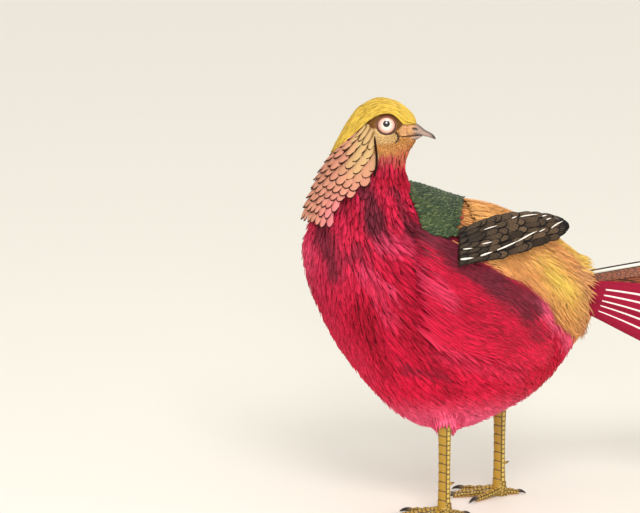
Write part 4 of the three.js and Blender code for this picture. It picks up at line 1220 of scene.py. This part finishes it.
def makeCrease(name, side, look):
    steps = np.linspace(0, 1, 25)
    spots = []
    for x, z in pathThrough(look["line"])[0](steps):
        outside = fromHead(np.array([x, side * 40, z]))
        inward = fromHead(np.array([x, 0, z])) - outside
        hit = skinTree.ray_cast(Vector(outside), Vector(inward).normalized())[0]
        skinSide = 0 if hit is None else abs(inHead(np.array(hit))[1]) + 0.95
        spots.append([x, side * max(skinSide, billWidth(x) + 0.1), z])
    spots = np.array(spots)
    turn, along, faces = tubeShape(8, 24)
    middle, run = (np.stack([np.interp(along, steps, line[:, k]) for k in range(3)], -1)
                   for line in (spots, unit(np.gradient(spots, axis=0))))
    out = np.array([0.0, side, 0.0])
    r = look["half"] * look["grow"](along)
    flat = unit(np.cross(run, out)) * (r * np.cos(turn))[:, None]
    coords = fromHead(middle + flat + out * (0.5 * r * np.sin(turn))[:, None])
    pieceName = name + ("CreaseLeft" if side > 0 else "CreaseRight")
    finishPiece(meshFrom(pieceName, coords, faces, tinted("crease", len(coords))), lidMaterial)


for name, look in creaseLook.items():
    for side in (-1, 1):
        makeCrease(name, side, look)
print("face done")

# Legs and feet: one skin each, with large plates down the front and small ones behind.
# places are x, y and the side, on the ground; edge is how far round the large plates reach.
shankRadius = curve([[11, 4.7], [30, 4.2], [60, 4.3], [84, 5], [110, 7]])
legLook = {"places": {"left": (-29.0, -31.0, -1), "right": (38.0, 31.0, 1)}, "voxel": 0.5, "ankle": 11.0,
           "top": 112.0, "back": 1.2, "deep": 1.2, "wide": 0.85, "edge": math.radians(101), "depth": 0.42,
           "step": 0.25, "plate": 8.2, "small": (4.3, 3.3)}
toeLook = {"edge": math.radians(58), "plate": 3.6, "small": (2.9, 2.6), "depth": 0.34, "capFrom": 0.93}
heelLook = {"plates": (3.2, 3.0), "low": 6.8, "high": 5.2, "depth": 0.3}
# Each toe's name, heading, length, thickness and number of pads
toes = (("middle", 0, 44.0, 4.2, 4), ("inner", 34, 33.0, 3.8, 4), ("outer", -36, 37.0, 3.7, 4),
        ("back", 180, 17.0, 3.2, 2))
frontColumn = 99  # so wide that the front plates are one column


# How far a place is from the nearest joint between plates, in millimetres, and which plate it is on
def plateGap(along, aside, length, width, shift=0.5):
    column = np.floor(aside / width)
    row = along / length + shift * column
    gapAlong = (0.5 - np.abs(row - np.floor(row) - 0.5)) * length
    gapAside = (0.5 - np.abs(aside / width - column - 0.5)) * width
    return np.minimum(gapAlong, gapAside), np.floor(row) * 7.3 + column * 3.1


# Large plates within edge of the front, small ones beyond it
def twoPlates(along, turn, r, look, bow):
    aside = np.abs(turn) * r
    edge = look["edge"] * r
    bowed = along + bow * np.abs(turn) ** 2
    main, mainIndex = plateGap(bowed, 0 * aside + frontColumn / 2, look["plate"], frontColumn, 0)
    small, smallIndex = plateGap(along, aside - edge, *look["small"])
    front = np.abs(turn) < look["edge"]
    gap = np.where(front, np.minimum(main, np.abs(edge - aside)), small)
    return front, gap, np.where(front, mainIndex, smallIndex)


def plateTone(gap, index, pale):
    tone = palette["legs"] * (1 + 0.1 * np.sin(index * 12.9))[:, None]
    return mixed(mixed(tone, "legPale", 0.6 * pale), "dark", 0.9 * smooth(0.75, 0.2, gap))


def makeShank(at):
    turn, along, faces = tubeShape(64, 200)
    z = lerp(legLook["ankle"] - 4, legLook["top"], along)
    r = shankRadius(z)
    front, gap, index = twoPlates(z, turn, r, legLook, 0.5)
    r = r + legLook["depth"] * (smooth(0.1, 0.7, gap) - 0.5)
    r = r + legLook["step"] * np.where(front, smooth(0, 1, (z / legLook["plate"]) % 1), 0)
    x = at[0] - legLook["deep"] * r * np.cos(turn) - legLook["back"]
    coords = stack3(x, at[1] + legLook["wide"] * r * np.sin(turn), z)
    return coords, faces, plateTone(gap, index, np.where(front, 0.0, 1.0))


# A place beside a toe's middle line, from how far out it reaches
def toePlace(at, heading, reach, across, z):
    turn = math.radians(180 + heading)
    return stack3(at[0] + reach * math.cos(turn) - across * math.sin(turn),
                  at[1] + reach * math.sin(turn) + across * math.cos(turn), np.maximum(0, z))


def makeToe(at, heading, length, thick, pads):
    turn, along, faces = tubeShape(40, 110)
    reach = lerp(-1, length, along)
    cap = np.sqrt(np.maximum(0.3, 1 - ((along - toeLook["capFrom"]) / 0.09) ** 2))
    pad = 1 + 0.07 * np.sin(2 * math.pi * along * pads)
    r = thick * lerp(1.08, 0.66, along) * pad * np.where(along > toeLook["capFrom"], cap, 1)
    top, gap, index = twoPlates(reach, turn, r, toeLook, 0.25)
    r = r + toeLook["depth"] * (smooth(0.1, 0.6, gap) - 0.5)
    z = r * 0.93 + r * np.cos(turn) + 3 * (1 - along) ** 3
    sole = smooth(2.2, 0.4, z) * smooth(0.5, 1.5, np.abs(turn))
    tone = mixed(plateTone(gap, index, np.where(top, 0.15, 0.6)), "ochre", 0.6 * sole)
    return toePlace(at, heading, reach, -np.sin(turn) * r, z), faces, tone


def makeHeel(at):
    turn, along, faces = tubeShape(40, 20)
    z = lerp(0, legLook["ankle"] + 2, along)
    r = lerp(heelLook["low"], heelLook["high"], smooth(0, 0.9, along))
    gap, index = plateGap(z, turn * r, *heelLook["plates"])
    r = r + heelLook["depth"] * (smooth(0.1, 0.6, gap) - 0.5)
    coords = stack3(at[0] - r * np.cos(turn), at[1] + legLook["wide"] * r * np.sin(turn), z)
    return coords, faces, plateTone(gap, index, 0.3 + 0 * gap)


# The parts of a leg as one skin, which keeps the colours of the nearest points
def joinParts(parts, voxel):
    starts = np.cumsum([0] + [len(part[0]) for part in parts[:-1]])
    coords, tones = (np.concatenate([part[k] for part in parts]) for k in (0, 2))
    faces = np.concatenate([part[1] + start for part, start in zip(parts, starts)])
    mesh = bpy.data.meshes.new("rough")
    mesh.from_pydata(coords.tolist(), [], faces.tolist())
    bm = oneSkin(mesh, voxel)
    relax(bm, bm.verts[:], 0.4, 1)
    points, skinned = readOut(bm)
    near = KDTree(len(coords))
    for i, p in enumerate(coords):
        near.insert(p, i)
    near.balance()
    picked = [near.find(p)[1] for p in points]
    points[:, 2] = np.where(points[:, 2] < 0.25, 0, points[:, 2])
    return points, skinned, tones[picked]


def makeLeg(label, at, material):
    parts = [makeShank(at), makeHeel(at)]
    parts += [makeToe(at, heading * at[2], length, thick, pads) for _, heading, length, thick, pads in toes]
    piece = meshFrom("shankAndToes_" + label, *joinParts(parts, legLook["voxel"]))
    finishPiece(piece, material, ("leg_" + label, "foot_" + label))


# Claws: short curved horn, sharp at the tip
clawLook = {"share": 0.62, "long": 10, "backLong": 7, "inside": 2.2, "arch": 0.9, "drop": 1.9}
spurLook = {"up": 29, "long": 8.0, "half": 2.4, "rise": 1.6}


def makeClaw(name, at, toe, material):
    toeName, heading, length, thick, _ = toe
    turn, along, faces = tubeShape(20, 20)
    start = thick * clawLook["share"]
    long = clawLook["backLong"] if toeName == "back" else clawLook["long"]
    r = start * np.sqrt(np.maximum(0.004, 1 - along ** 1.3))
    z = start * 1.15 + r * np.cos(turn) * 0.95 + clawLook["arch"] * np.sin(math.pi * along)
    z = np.maximum(0.2, z - clawLook["drop"] * along ** 2)
    reach = lerp(length - clawLook["inside"], length + long, along)
    coords = toePlace(at, heading * at[2], reach, -np.sin(turn) * r * 0.8, z)
    tone = mixed(tinted("claw", len(z)), "dark", smooth(0.05, 0.5, along))
    piece = meshFrom("clawHorn_" + name + "_" + toeName, coords, faces, tone)
    finishPiece(piece, material, ("claw_" + name + "_" + toeName,))


def makeSpur(name, at, material):
    turn, along, faces = tubeShape(24, 24)
    r = spurLook["half"] * (1 - along) ** 0.7 + 0.15
    z = spurLook["up"] + spurLook["rise"] * along ** 1.6 + r * np.cos(turn)
    coords = stack3(at[0] + spurLook["long"] * along, at[1] + r * np.sin(turn), z)
    tone = mixed(tinted("legs", len(z)), "dark", 0.85 * smooth(0.4, 1, along))
    finishPiece(meshFrom("spur_" + name, coords, faces, tone), material)


legMaterial = grainMaterial("legScales", 0.42, 0.15, 1400, 0.00012, specular=0.35)
clawMaterial = grainMaterial("clawHorn", 0.3, 0.3, 1500, 0.0001)
for label, at in legLook["places"].items():
    makeLeg(label, at, legMaterial)
    for toe in toes:
        makeClaw(label, at, toe, clawMaterial)
    makeSpur(label, at, clawMaterial)
print("legs done")

# Loose feathers round the top of each leg
tuftLook = {"count": 520, "from": 60.0, "radius": 18, "least": 8.6, "thick": 0.5, "shape": vaneShape(4, 4),
            "outline": softOutline}


def makeThighTufts(label, at):
    count = tuftLook["count"]
    draw = np.random.default_rng(81)
    angle = draw.uniform(0, 2 * math.pi, count)
    away = tuftLook["radius"] * np.sqrt(draw.uniform(0.1, 1, count))
    out = stack3(np.cos(angle), np.sin(angle), 0)
    roots = np.array([at[0], at[1], tuftLook["from"]]) + out * away[:, None]
    for p in roots:
        p[2] = skinTree.ray_cast(Vector(p), Vector((0, 0, 1)))[0].z + 2
    fall = lerp(17, 6, (away - 5) / 13) + draw.uniform(-2, 2, count)
    inwards = out * (np.maximum(tuftLook["least"], 0.85 * away) - away)[:, None]
    tips = roots + inwards - stack3(0, 0, fall)
    tints = toned(coatColour(roots - [0, 0, 6]), draw, 0.1)
    height = 0.8 * np.sin(math.pi * tuftLook["shape"][1]) + np.zeros((count, 1))
    halves = draw.uniform(1.0, 1.7, count)
    piece = layAlong("thighTufts_" + label, tuftLook, roots, tips, out, out, halves, height, tints)
    finishPiece(piece, strandMaterial)


for label, at in legLook["places"].items():
    makeThighTufts(label, at)
print("thighs done")

# Wings, folded over the back. wingShafts are the pale ones that show: start, end and half width.
wingLook = {"half": curve([[-1, 14.5], [-0.7, 16], [-0.35, 17.4], [0, 17], [0.4, 13], [0.75, 9.5],
                           [0.93, 6.5], [1, 4.5]]),
            "out": np.array([0, -0.87, 0.5]), "skew": 0.45, "crown": 2.2, "blades": 8,
            "stations": ((-28, -65.5, 244), (-10, -63, 248.5), (14, -56.2, 252), (38, -46, 255),
                         (61, -35, 255), (80, -27, 253.5)),
            "tiers": ((-0.84, 7), (-0.68, 7), (-0.52, 6), (-0.36, 6), (-0.18, 6), (0, 5), (0.2, 5), (0.4, 5),
                      (0.58, 4), (0.72, 4))}
wingShafts = np.array((
    (-0.99, -0.66, -0.78, -0.77, 1.0), (-0.68, -0.76, -0.5, -0.7, 0.9), (-0.43, -0.66, -0.08, -0.48, 0.75),
    (-0.1, -0.5, 0.3, -0.3, 0.7), (-0.95, -0.18, -0.8, -0.3, 0.6), (-0.65, -0.22, -0.49, -0.24, 0.6),
    (-0.6, 0.47, -0.36, 0.48, 0.55), (0.13, 0.67, 0.44, 0.78, 0.6), (-0.04, 0.66, 0.06, 0.69, 0.55),
    (0.51, 0.66, 0.6, 0.7, 0.6), (0.56, 0.38, 0.66, 0.49, 0.55), (0.6, -0.26, 0.86, 0.26, 0.6),
    (0.34, -0.36, 0.47, -0.26, 0.5)))


def wingSurface(side, drop):
    stations = []
    for x, y, z in wingLook["stations"]:
        fall = drop * float(smooth(-20, 80, x))
        stations.append([x, y - 0.4 * fall, z - fall])
    at, run = pathThrough(stations)
    out = wingLook["out"]

    def surface(along, upward):
        share = np.clip((along + 1) / 2, 0, 1)
        up = unit(np.cross(out, run(share)))
        up = up + run(share) * (wingLook["skew"] * (1 - smooth(-1, 0.3, along)))[..., None]
        lean = -side * np.asarray(upward) * wingLook["half"](along)
        point = at(share) + up * lean[..., None] - out * (wingLook["crown"] * np.square(upward))[..., None]
        return point * np.array([1, -side, 1])

    return surface


# A slab under the feathers, so that no gap shows between them
def coreRows(draw):
    return featherRows(np.array([-1.0]), 0, 0.72, 0, 13.5, -0.6, -0.6, 5.0)


def bladeRows(draw):
    i = np.linspace(0, 1, wingLook["blades"])
    ends = 0.86 + 0.14 * np.sin(math.pi * (0.15 + 0.7 * i))
    return featherRows(-0.4 + 0.1 * i, lerp(-0.8, 0.7, i), ends, lerp(-0.72, 0.72, i), 3.4, 0.6 + 0.6 * i,
                       0.6 + 1.2 * i, 0.6)


def covertRows(draw):
    made = []
    for k, (end, count) in enumerate(wingLook["tiers"]):
        b = np.linspace(-0.88, 0.9, count + k % 2)
        tips = end + 0.05 * (k % 2) + draw.normal(0, 0.03, len(b))
        sway = draw.normal(0, 0.03, len(b))
        half = 1.2 * float(wingLook["half"](end - 0.1)) / count * draw.uniform(0.9, 1.15, len(b))
        lift = lerp(3.4, 2.6, smooth(-1, 0.5, end))
        made.append(featherRows(tips - 0.36, b, tips, b + sway, half, 1.2, lift, 0.5))
    return {key: np.concatenate([rows[key] for rows in made]) for key in rowKeys}


def shaftRows(draw):
    return featherRows(*wingShafts.T, 3.9, 4.4, 0.7)


bladeMaterial = featherMaterial("wingFeather", 14, edge="bladeEdge", edgeFrom=0.9, edgeSide=0.75,
                                variation=0.4, rootDark=0.2, specular=0.2)
covertMaterial = featherMaterial("wingCovert", 5, edge="covertEdge", edgeSide=0.26, capFrom=roundFrom,
                                 sideFrom=0.3, variation=0.35, rootDark=0.5, specular=0.2)
coreOutline = curve([[0, 0.8], [0.5, 1], [0.8, 0.9], [1, 0.55]])
bladeOutline = curve([[0, 0.8], [0.5, 1], [0.9, 0.9], [1, 0.4]])
wingParts = {
    "Core": {"rows": coreRows, "shape": bladeShape(6, 10), "outline": coreOutline, "patch": 0.003,
             "material": covertMaterial, "tone": "wingCore", "vary": 0},
    "Flight": {"rows": bladeRows, "shape": bladeShape(6, 14), "outline": bladeOutline, "patch": 0.05,
               "material": bladeMaterial, "tone": "blade", "vary": 0.3, "stands": True},
    "Coverts": {"rows": covertRows, "shape": bladeShape(6, 8, 1.6), "outline": scallopOutline, "patch": 0.03,
                "material": covertMaterial, "tone": "covert", "vary": 0.3, "cup": 0.6, "stands": True},
    "Shafts": {"rows": shaftRows, "shape": vaneShape(6, 10), "outline": strandOutline, "patch": 0.02,
               "material": strandMaterial, "tone": "wingShaft", "vary": 0.03, "camber": 0.6},
}


def wingPiece(wing, side, surface, part):
    look = wingParts[part]
    draw = np.random.default_rng(51)
    rows = look["rows"](draw)
    rows["tint"] = toned(tinted(look["tone"], len(rows["a0"])), draw, look["vary"])
    rows["bake"] = np.stack([(rows["a0"] + 1.3) / 2.6, (rows["b0"] + 1) / 2.2 + 0.02], -1)
    if part == "Coverts":
        rows["tint"] *= lerp(0.5, 1, smooth(-0.75, -0.3, rows["a1"]))[:, None]
    if part == "Core":
        rows["bake"] = np.array([[0.5, 0.5]])
    rows["b0"], rows["b1"] = -side * rows["b0"], -side * rows["b1"]
    piece = plant(wing + part, look["shape"], surface, rows, look["outline"], look.get("cup", 0),
                  look.get("camber", 0), look["patch"])
    finishPiece(piece, look["material"], (wing,) if look.get("stands") else ())


for wing, side, drop in (("wing_left", -1, 0.0), ("wing_right", 1, 18.0)):
    surface = wingSurface(side, drop)
    for part in wingParts:
        wingPiece(wing, side, surface, part)
print("wings done")


# Long feathers, side by side on the baked map
def gatherLong(name, shape, points, tone, places, seed, vary):
    corners = [(0.02 + 0.96 * k / places, 0.01) for k in range(len(points))]
    tints = toned(tinted(tone, len(points)), np.random.default_rng(seed), vary)
    rows = {"tint": tints, "bake": np.array(corners)}
    return gather(name, shape, np.array(points), rows, np.array([0.9 / places, 0.97]))


# Tail: pairs of long feathers like the two slopes of a roof, each pair under the last.
# line is its middle, seen from the side; share, wide and shaft go by the pair.
tailLook = {"line": ((90, 202.5), (180, 214.5), (270, 221), (420, 223), (600, 205), (760, 165)),
            "share": curve([[0, 1], [1, 0.9], [2, 0.7], [3, 0.52], [4, 0.38], [5, 0.27]]),
            "wide": curve([[0, 20], [5, 10]]), "inner": 8, "slope": math.radians(24), "crown": 0.9,
            "under": 2,
            "outline": curve([[0, 0.5], [0.18, 0.95], [0.45, 1], [0.8, 0.72], [1, 0.1]]),
            "sidePairs": (0.8, 1.6, 2.4, 3.2, 4, 4.8)}
tailAt, tailRun = pathThrough(tailLook["line"])


def tailPoint(side, pair, across, along, lift, inward):
    share = tailLook["share"](pair)
    reach = np.minimum(1, along * share)
    point, run = tailAt(reach), tailRun(reach)
    shaft = 2 + 1.8 * pair + along * share * (3 + 7 * pair)
    inner = np.minimum(tailLook["inner"], shaft - 0.6 - 0.85 * pair + (0.9 if pair == 0 else 0))
    half = tailLook["outline"](along) * np.where(across > 0, tailLook["wide"](pair), inner)
    out = shaft - inward + across * half
    height = (1 - np.abs(across)) * tailLook["crown"] + lift - tailLook["under"] * pair
    slope = tailLook["slope"]
    up = height * math.cos(slope) - out * math.sin(slope)
    y = side * (out * math.cos(slope) + height * math.sin(slope))
    return stack3(point[..., 0] - run[..., 1] * up, y, point[..., 1] + run[..., 0] * up)


# A shaft is a feather's shape squeezed round its own middle line, and ends just before its tip
def tailPiece(name, pairs, material, shape, tone="chestnut", squeeze=1.0, raised=0.0, thick=1.0, inward=0.0):
    u, v, s, faces = shape
    along = v * (0.985 if squeeze < 1 else 1)
    lift = s * lerp(0.5, 0.25, np.abs(u)) * lerp(1, 0.6, v) * thick + raised
    points = [tailPoint(side, pair, u * squeeze, along, lift, inward) for pair in pairs for side in (-1, 1)]
    piece = gatherLong(name, shape, points, tone, len(points), 61, 0.05)
    finishPiece(piece, material, ("tail",))


# Net of dark lines round pale spots, on the middle pair
def netPattern(tree, colour, across, along, fromShaft):
    spots = addNode(tree, "ShaderNodeCombineXYZ")
    tree.links.new(maths(tree, "MULTIPLY", across, 9.0), spots.inputs[0])
    tree.links.new(maths(tree, "MULTIPLY", along, 150.0), spots.inputs[1])
    cells = addNode(tree, "ShaderNodeTexVoronoi", feature="DISTANCE_TO_EDGE", voronoi_dimensions="2D")
    cells.inputs["Scale"].default_value = 1.0
    tree.links.new(spots.outputs[0], cells.inputs["Vector"])
    net = ramp(tree, cells.outputs["Distance"], (0.06, 1.0), (0.2, 0.0))
    colour = mixColour(tree, maths(tree, "MULTIPLY", net, 0.85), colour, palette["ink"])
    besideShaft = ramp(tree, fromShaft, (0.065, 1.0), (0.085, 0.0))
    return mixColour(tree, besideShaft, colour, palette["ink"])


# Slanting dark bars, on the side feathers
def barPattern(tree, colour, across, along, fromShaft):
    slanted = maths(tree, "SUBTRACT", maths(tree, "MULTIPLY", along, 42.0),
                    maths(tree, "MULTIPLY", fromShaft, 3.0))
    slanted = maths(tree, "ADD", slanted, maths(tree, "MULTIPLY", noiseNode(tree, 60), 1.2))
    wave = maths(tree, "SINE", maths(tree, "MULTIPLY", slanted, 2 * math.pi))
    bars = ramp(tree, wave, (0.35, 0.0), (0.6, 1.0))
    return mixColour(tree, maths(tree, "MULTIPLY", bars, 0.75), colour, palette["ink"])


netMaterial = featherMaterial("tailNet", 150, sheen=0.3, variation=0.12, rootDark=0.1, edge="ink",
                              edgeFrom=2, edgeSide=0.97, pattern=netPattern)
barMaterial = featherMaterial("tailBars", 120, sheen=0.3, variation=0.15, rootDark=0.1, edge="ink",
                              edgeFrom=2, edgeSide=0.97, pattern=barPattern)
shaftMaterial = featherMaterial("paleShaft", 2, roughness=0.35, variation=0.02, rootDark=0.0, specular=0.5)
sidePairs = tailLook["sidePairs"]
tailPiece("tailMiddle", (0,), netMaterial, bladeShape(12, 60))
tailPiece("tailSides", sidePairs, barMaterial, bladeShape(8, 40))
tailPiece("tailShafts", sidePairs, shaftMaterial, vaneShape(6, 40), "tailShaft", 0.055, 0.3, 2.2)
tailPiece("tailMiddleShafts", (0,), shaftMaterial, vaneShape(8, 60), "broadShaft", 0.07, 1.0, 4.6)
tailPiece("tailMiddleShade", (0,), shaftMaterial, vaneShape(8, 60), "shaftShade", 0.04, 0.2, 4.9, 1.3)
print("tail done")

# Coverts: scarlet blades with pale shafts, in a fan under the tail on each side
covertLook = {"count": 12, "start": 98.0, "high": 199.0, "aside": 18.4, "long": 190, "slope": (4, 3.3),
              "vaneHalf": 6.8, "shaftHalf": 1.4, "vanes": np.linspace(0, 6, 12),
              "shafts": (0.6, 1.7, 2.85, 3.9, 5.1)}
lanceOutline = curve([[0, 0.6], [0.35, 1], [0.7, 0.8], [1, 0.12]])


# places says which blades of the fan, counted down from the top one
def covertPiece(name, side, places, material, shape, half, raised, thick, tone, replaced, begin=0.0):
    u, v, s, faces = shape
    points = []
    for k in places:
        down = math.radians(covertLook["slope"][0] + covertLook["slope"][1] * k)
        reach = lerp(begin, 1, v) * (covertLook["long"] - 13 * k)
        x = covertLook["start"] + 5 * math.sin(down) + reach * math.cos(down)
        z = covertLook["high"] - 3.8 * k - reach * math.sin(down) - reach ** 2 / 1100
        y = 0.4 * k - covertLook["aside"] - reach * (0.13 - 0.009 * k)
        across = u * half * lanceOutline(v)
        out = s * 0.25 * thick * (1 - 0.5 * v) + 0.7 * (1 - np.abs(across) / covertLook["vaneHalf"]) + raised
        points.append(stack3(x - across * math.sin(down), -side * (y - out - 0.25 * across),
                             z + across * math.cos(down)))
    piece = gatherLong(name, shape, points, tone, covertLook["count"], 71, 0.1)
    finishPiece(piece, material, replaced)


scarletMaterial = featherMaterial("tailCovert", 50, roughness=0.65, rootDark=0.1, specular=0.15)
for name, side in (("tail_coverts_left", -1), ("tail_coverts_right", 1)):
    covertPiece(name + "Vanes", side, covertLook["vanes"], scarletMaterial, bladeShape(6, 24),
                covertLook["vaneHalf"], 0, 2, "scarlet", (name,))
    covertPiece(name + "Shafts", side, covertLook["shafts"], shaftMaterial, vaneShape(6, 24),
                covertLook["shaftHalf"], 0.5, 3.5, "redShaft", (name,), begin=0.1)
print("coverts done")

# Floor, light and camera. Lamps are placed in metres; a sun has only its side, its power and its spread.
stageLook = {"floorSize": 14, "below": 0.0002, "aim": (-134.5, 0, 229.5), "azimuth": -12, "elevation": 10,
             "distance": 2400, "lens": 156.5, "world": 0.66, "lit": (0, 0, 0.2)}
keyLook = {"place": (-0.5, -2.0, 1.8), "size": 0.95, "power": 33, "tone": (1, 0.985, 0.965)}
suns = {"front": ((-0.18, -0.96, 0.235), 0.85, 14), "right": ((0.9, -0.75, 0.25), 0.42, 60),
        "overhead": ((-0.5, -0.75, 1.3), 0.55, 80), "behind": ((0.5, 0.9, 1.1), 0.55, 45)}


def makeFloor():
    bm = bmesh.new()
    bmesh.ops.create_grid(bm, x_segments=8, y_segments=8, size=stageLook["floorSize"])
    bmesh.ops.translate(bm, verts=bm.verts[:], vec=(0, 0, -stageLook["below"]))
    mesh = bpy.data.meshes.new("floor")
    bm.to_mesh(mesh)
    bm.free()
    floor = addObject("floor", mesh)
    material, _, shader = newMaterial("paleFloor", roughness=0.9, specular=0.1)
    shader.inputs["Base Color"].default_value = (*palette["floor"], 1)
    mesh.materials.append(material)


# Turns a lamp or the camera to face a way
def facing(holder, way):
    holder.rotation_euler = Vector(way).to_track_quat("-Z", "Y").to_euler()


def makeKey():
    lamp = bpy.data.lights.new("key", "AREA")
    lamp.size = keyLook["size"]
    lamp.energy = keyLook["power"]
    lamp.color = keyLook["tone"]
    holder = addObject("key", lamp)
    holder.location = keyLook["place"]
    facing(holder, Vector(stageLook["lit"]) - Vector(keyLook["place"]))


def makeSun(name, side, power, spread):
    lamp = bpy.data.lights.new(name, "SUN")
    lamp.energy = power
    lamp.angle = math.radians(spread)
    facing(addObject(name, lamp), -Vector(side))


def makeCamera():
    azimuth, elevation = math.radians(stageLook["azimuth"]), math.radians(stageLook["elevation"])
    level = math.cos(elevation)
    back = np.array([math.sin(azimuth) * level, -math.cos(azimuth) * level, math.sin(elevation)])
    camera = bpy.data.cameras.new("camera")
    camera.lens = stageLook["lens"]
    camera.sensor_width = 36
    camera.clip_end = 60
    holder = addObject("camera", camera)
    holder.location = (np.array(stageLook["aim"]) + back * stageLook["distance"]) * mm + birdZero
    facing(holder, -back)
    bpy.context.scene.camera = holder


makeFloor()
makeKey()
for name, (side, power, spread) in suns.items():
    makeSun(name, side, power, spread)
makeCamera()
world = bpy.data.worlds.new("world")
world.use_nodes = True
background = world.node_tree.nodes["Background"]
background.inputs["Color"].default_value = (*palette["world"], 1)
background.inputs["Strength"].default_value = stageLook["world"]
bpy.context.scene.world = world
bpy.context.scene.view_settings.view_transform = "Standard"
print("stage done")
